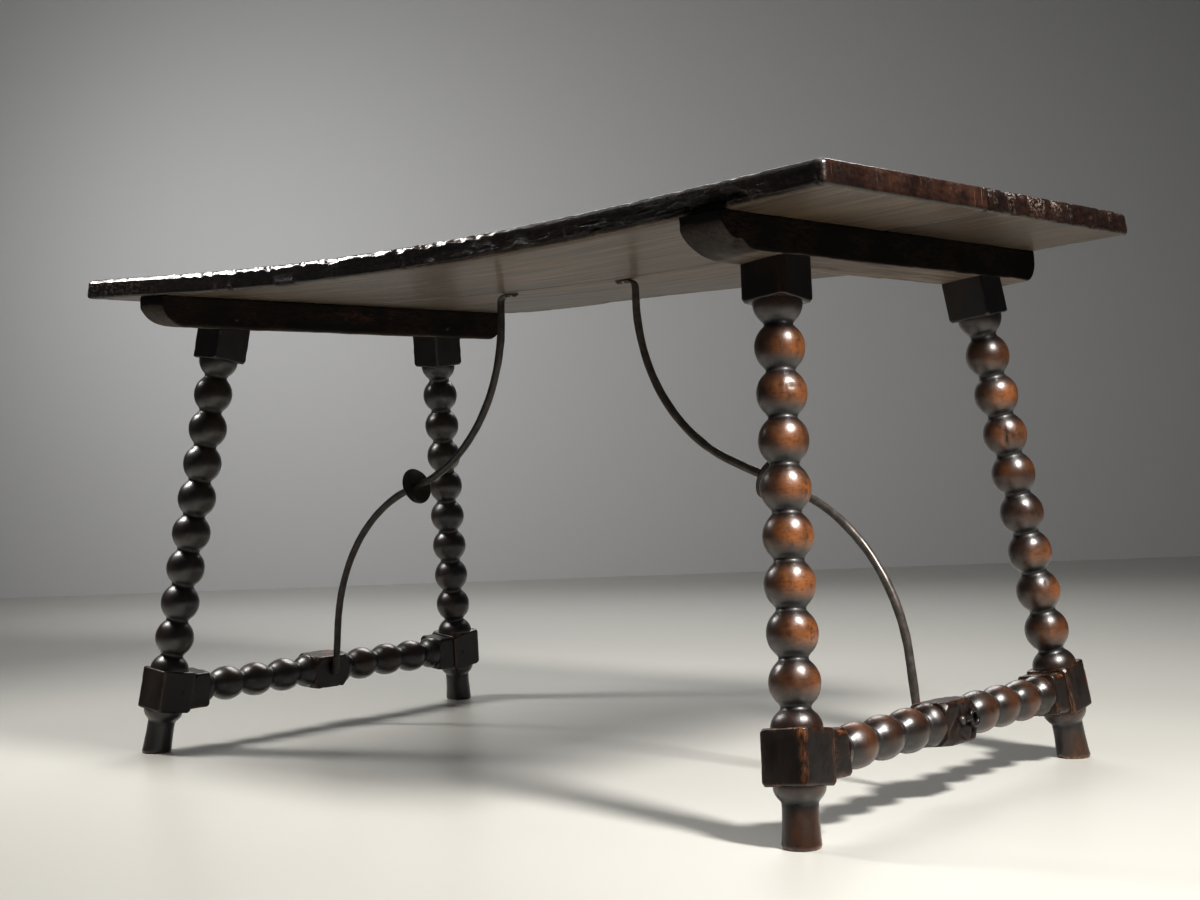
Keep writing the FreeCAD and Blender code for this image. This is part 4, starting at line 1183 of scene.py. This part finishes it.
bearerLook = {
    "deep": (0.0008, 0.0006, 0.0006), "dark": (0.0050, 0.0036, 0.0033), "mid": (0.0110, 0.0066, 0.0054),
    "light": (0.016, 0.0072, 0.0048), "cloud": 0.3, "wear": (0.10, 0.045, 0.022), "wearAmount": 0.3,
    "under": (0.205, 0.165, 0.135), "underDark": (0.075, 0.058, 0.047), "underRough": 0.2,
    "golden": (0.210, 0.160, 0.120),
    "blotch": (46, 46, 8), "mottle": (200, 200, 20), "along": 0.2, "gloss": (0.30, 0.48), "specular": 0.18,
    "coat": 0.0, "coatRough": 0.2, "bump": 0.35,
}
pegLook = {
    "deep": (0.0018, 0.0012, 0.0010), "dark": (0.006, 0.0036, 0.0026), "mid": (0.010, 0.0058, 0.0042),
    "light": (0.018, 0.0090, 0.0060), "cloud": 0.5, "wear": (0.08, 0.040, 0.020), "wearAmount": 0.1,
    "blotch": (55, 55, 40), "mottle": (150, 150, 420), "along": 1, "gloss": (0.3, 0.5), "specular": 0.5,
    "coat": 0.1, "coatRough": 0.2, "bump": 0.4,
}
dowelLook = {**pegLook, "grainAlong": (math.pi / 2, 0, 0)}  # the dowels lie along the depth
ironLook = {
    "dark": (0.076, 0.066, 0.060), "light": (0.140, 0.122, 0.110), "rust": (0.080, 0.052, 0.035),
    # the near black that the darkening layer blends to: painted shade on the left stay, a darker eye and
    # collars
    "shadeDark": (0.008, 0.006, 0.005), "gloss": (0.31, 0.41), "metal": 0.4, "specular": 0.5,
}


def forgedIron(name, look):
    # dark hammered iron: a grey-brown patina with a little rust, darkened with painted shade on the left
    # stay
    material, tree, shader = newMaterial(name)
    grain = attribute(tree, "grain", "Vector")
    blotch = spots(tree, grain, (70, 70, 70), 5, 0.6, 1.1)
    grit = spots(tree, grain, (420, 420, 420), 4, 0.65, 2.3)
    colour = blend(tree, remap(tree, blotch, 0.35, 0.7), look["dark"], look["light"])
    colour = blend(tree, remap(tree, grit, 0.55, 0.75, 0, 0.4), colour, look["rust"])
    # darkened: painted shade on the left stay, a darker eye and collars
    colour = blend(tree, attribute(tree, "grime"), colour, look["shadeDark"])
    tree.links.new(colour, shader.inputs["Base Color"])
    tree.links.new(remap(tree, blotch, 0.3, 0.75, *look["gloss"]), shader.inputs["Roughness"])
    shader.inputs["Metallic"].default_value = look["metal"]
    shader.inputs["Specular IOR Level"].default_value = look["specular"]
    tree.links.new(bumps(tree, [(blotch, 0.16, 0.0012), (grit, 0.25, 0.0004)]), shader.inputs["Normal"])
    return material


materials = {
    "top_walnut": walnut("topWalnut", topLook), "bearer_walnut": walnut("bearerWalnut", bearerLook),
    "turned_walnut": walnut("turnedWalnut", turnedLook), "peg_oak": walnut("pegOak", pegLook),
    "forged_iron": forgedIron("forgedIron", ironLook),
}
slotOf = {k["node"]: k["material_slot"] for k in frame["record"]["subparts"]}
for node, piece in pieces.items():
    piece.data.materials.append(materials[slotOf[node]])
# the dowels inside the seam keep their own solids and only take a finish
dowelMaterial = walnut("dowelOak", dowelLook)
for slot in frame["nodes"]["top_seam_dowels"].material_slots:
    slot.material = dowelMaterial
print("materials made, dowel slots:", len(frame["nodes"]["top_seam_dowels"].material_slots))

# the room: a pale floor, a grey wall square to the view, five soft lamps; metres and degrees
room = {
    "camera": (1.745, -1.9227, 0.4445), "turn": 41.4397, "pitch": 0.1895, "roll": -2.0179, "lens": 52.095,
    "sensor": 36, "wallDistance": 6.36, "halfWidth": 9, "depth": 16, "height": 5,
    "floor": (0.56, 0.556, 0.525), "floorRough": 0.32, "floorShine": 0.35,
    "wall": (0.52, 0.52, 0.525), "wallRough": 0.9, "wallShine": 0.2,
    "sky": (0.85, 0.92, 1, 1), "skyStrength": 0.06, "gamma": 0.85,
}
turn = math.radians(room["turn"])
pitch = math.radians(room["pitch"])
roll = math.radians(room["roll"])
ahead = np.array([-math.sin(turn), math.cos(turn), 0])
aside = np.array([math.cos(turn), math.sin(turn), 0])
view = ahead * math.cos(pitch) + np.array([0, 0, math.sin(pitch)])
above = np.cross(aside, view)
cameraData = bpy.data.cameras.new("camera")
cameraData.lens = room["lens"]
cameraData.sensor_width = room["sensor"]
cameraData.sensor_fit = "HORIZONTAL"
camera = bpy.data.objects.new("camera", cameraData)
bpy.context.scene.collection.objects.link(camera)
pose = np.eye(4)
pose[:3, 0] = math.cos(roll) * aside + math.sin(roll) * above
pose[:3, 1] = math.cos(roll) * above - math.sin(roll) * aside
pose[:3, 2] = -view
pose[:3, 3] = room["camera"]
camera.matrix_world = Matrix(pose.tolist())
bpy.context.scene.camera = camera


def stageSheet(name, corners, colour, roughness, shine):
    # a flat sheet with a plain finish, not part of the table
    material, tree, shader = newMaterial(name)
    shader.inputs["Base Color"].default_value = (*colour, 1)
    shader.inputs["Roughness"].default_value = roughness
    shader.inputs["Specular IOR Level"].default_value = shine
    mesh = bpy.data.meshes.new(name)
    mesh.from_pydata([tuple(k) for k in corners], [], [(0, 1, 2, 3)])
    mesh.materials.append(material)
    sheet = bpy.data.objects.new(name, mesh)
    bpy.context.scene.collection.objects.link(sheet)


wallFoot = np.array([*room["camera"][:2], 0]) + ahead * room["wallDistance"]
wallLeft = wallFoot - aside * room["halfWidth"]
wallRight = wallFoot + aside * room["halfWidth"]
nearer = -ahead * room["depth"]
higher = np.array([0, 0, room["height"]])
stageSheet("floor", [wallLeft + nearer, wallRight + nearer, wallRight, wallLeft],
           room["floor"], room["floorRough"], room["floorShine"])
stageSheet("wall", [wallLeft, wallRight, wallRight + higher, wallLeft + higher],
           room["wall"], room["wallRough"], room["wallShine"])

lamps = [
    {"name": "lampRight", "place": (1.80, -0.32, 1.92), "aim": (0.15, 0.1, 0.2), "size": (0.32, 0.44),
     "power": 60, "spread": 140, "colour": (1, 0.97, 0.93)},
    {"name": "lampLeft", "place": (-1.30, -0.54, 1.60), "aim": (-0.45, -0.35, 0.2), "size": (0.22, 0.9),
     "power": 15, "spread": 130, "colour": (1, 0.97, 0.93)},
    {"name": "lampAbove", "place": (0.55, -0.05, 3.2), "aim": (0.6, -0.3, 0.0), "size": (0.9, 0.9),
     "power": 14, "spread": 180, "colour": (1, 0.985, 0.96)},
    {"name": "lampBack", "place": (-1.5, 2.1, 2.3), "aim": (-0.1, 0.1, 0.0), "size": (2.4, 0.9),
     "power": 24, "spread": 130, "colour": (1, 0.99, 0.97)},
    {"name": "lampWall", "place": (-2.5, 0.8, 1.3), "aim": (-3.0, 2.9, 0.9), "size": (1.6, 1.0),
     "power": 16, "spread": 180, "colour": (1, 1, 1)},
]
for lamp in lamps:
    data = bpy.data.lights.new(lamp["name"], "AREA")
    data.shape = "ELLIPSE"
    data.size, data.size_y = lamp["size"]
    data.spread = math.radians(lamp["spread"])
    data.energy = lamp["power"]
    data.color = lamp["colour"]
    light = bpy.data.objects.new(lamp["name"], data)
    bpy.context.scene.collection.objects.link(light)
    direction = Vector(lamp["aim"]) - Vector(lamp["place"])
    aimed = direction.to_track_quat("-Z", "Y").to_matrix().to_4x4()
    light.matrix_world = Matrix.Translation(lamp["place"]) @ aimed
world = bpy.data.worlds.new("room")
world.use_nodes = True
sky = world.node_tree.nodes["Background"]
sky.inputs["Color"].default_value = room["sky"]
sky.inputs["Strength"].default_value = room["skyStrength"]
bpy.context.scene.world = world
bpy.context.scene.view_settings.view_transform = "Standard"
bpy.context.scene.view_settings.gamma = room["gamma"]
print("room and lamps made")
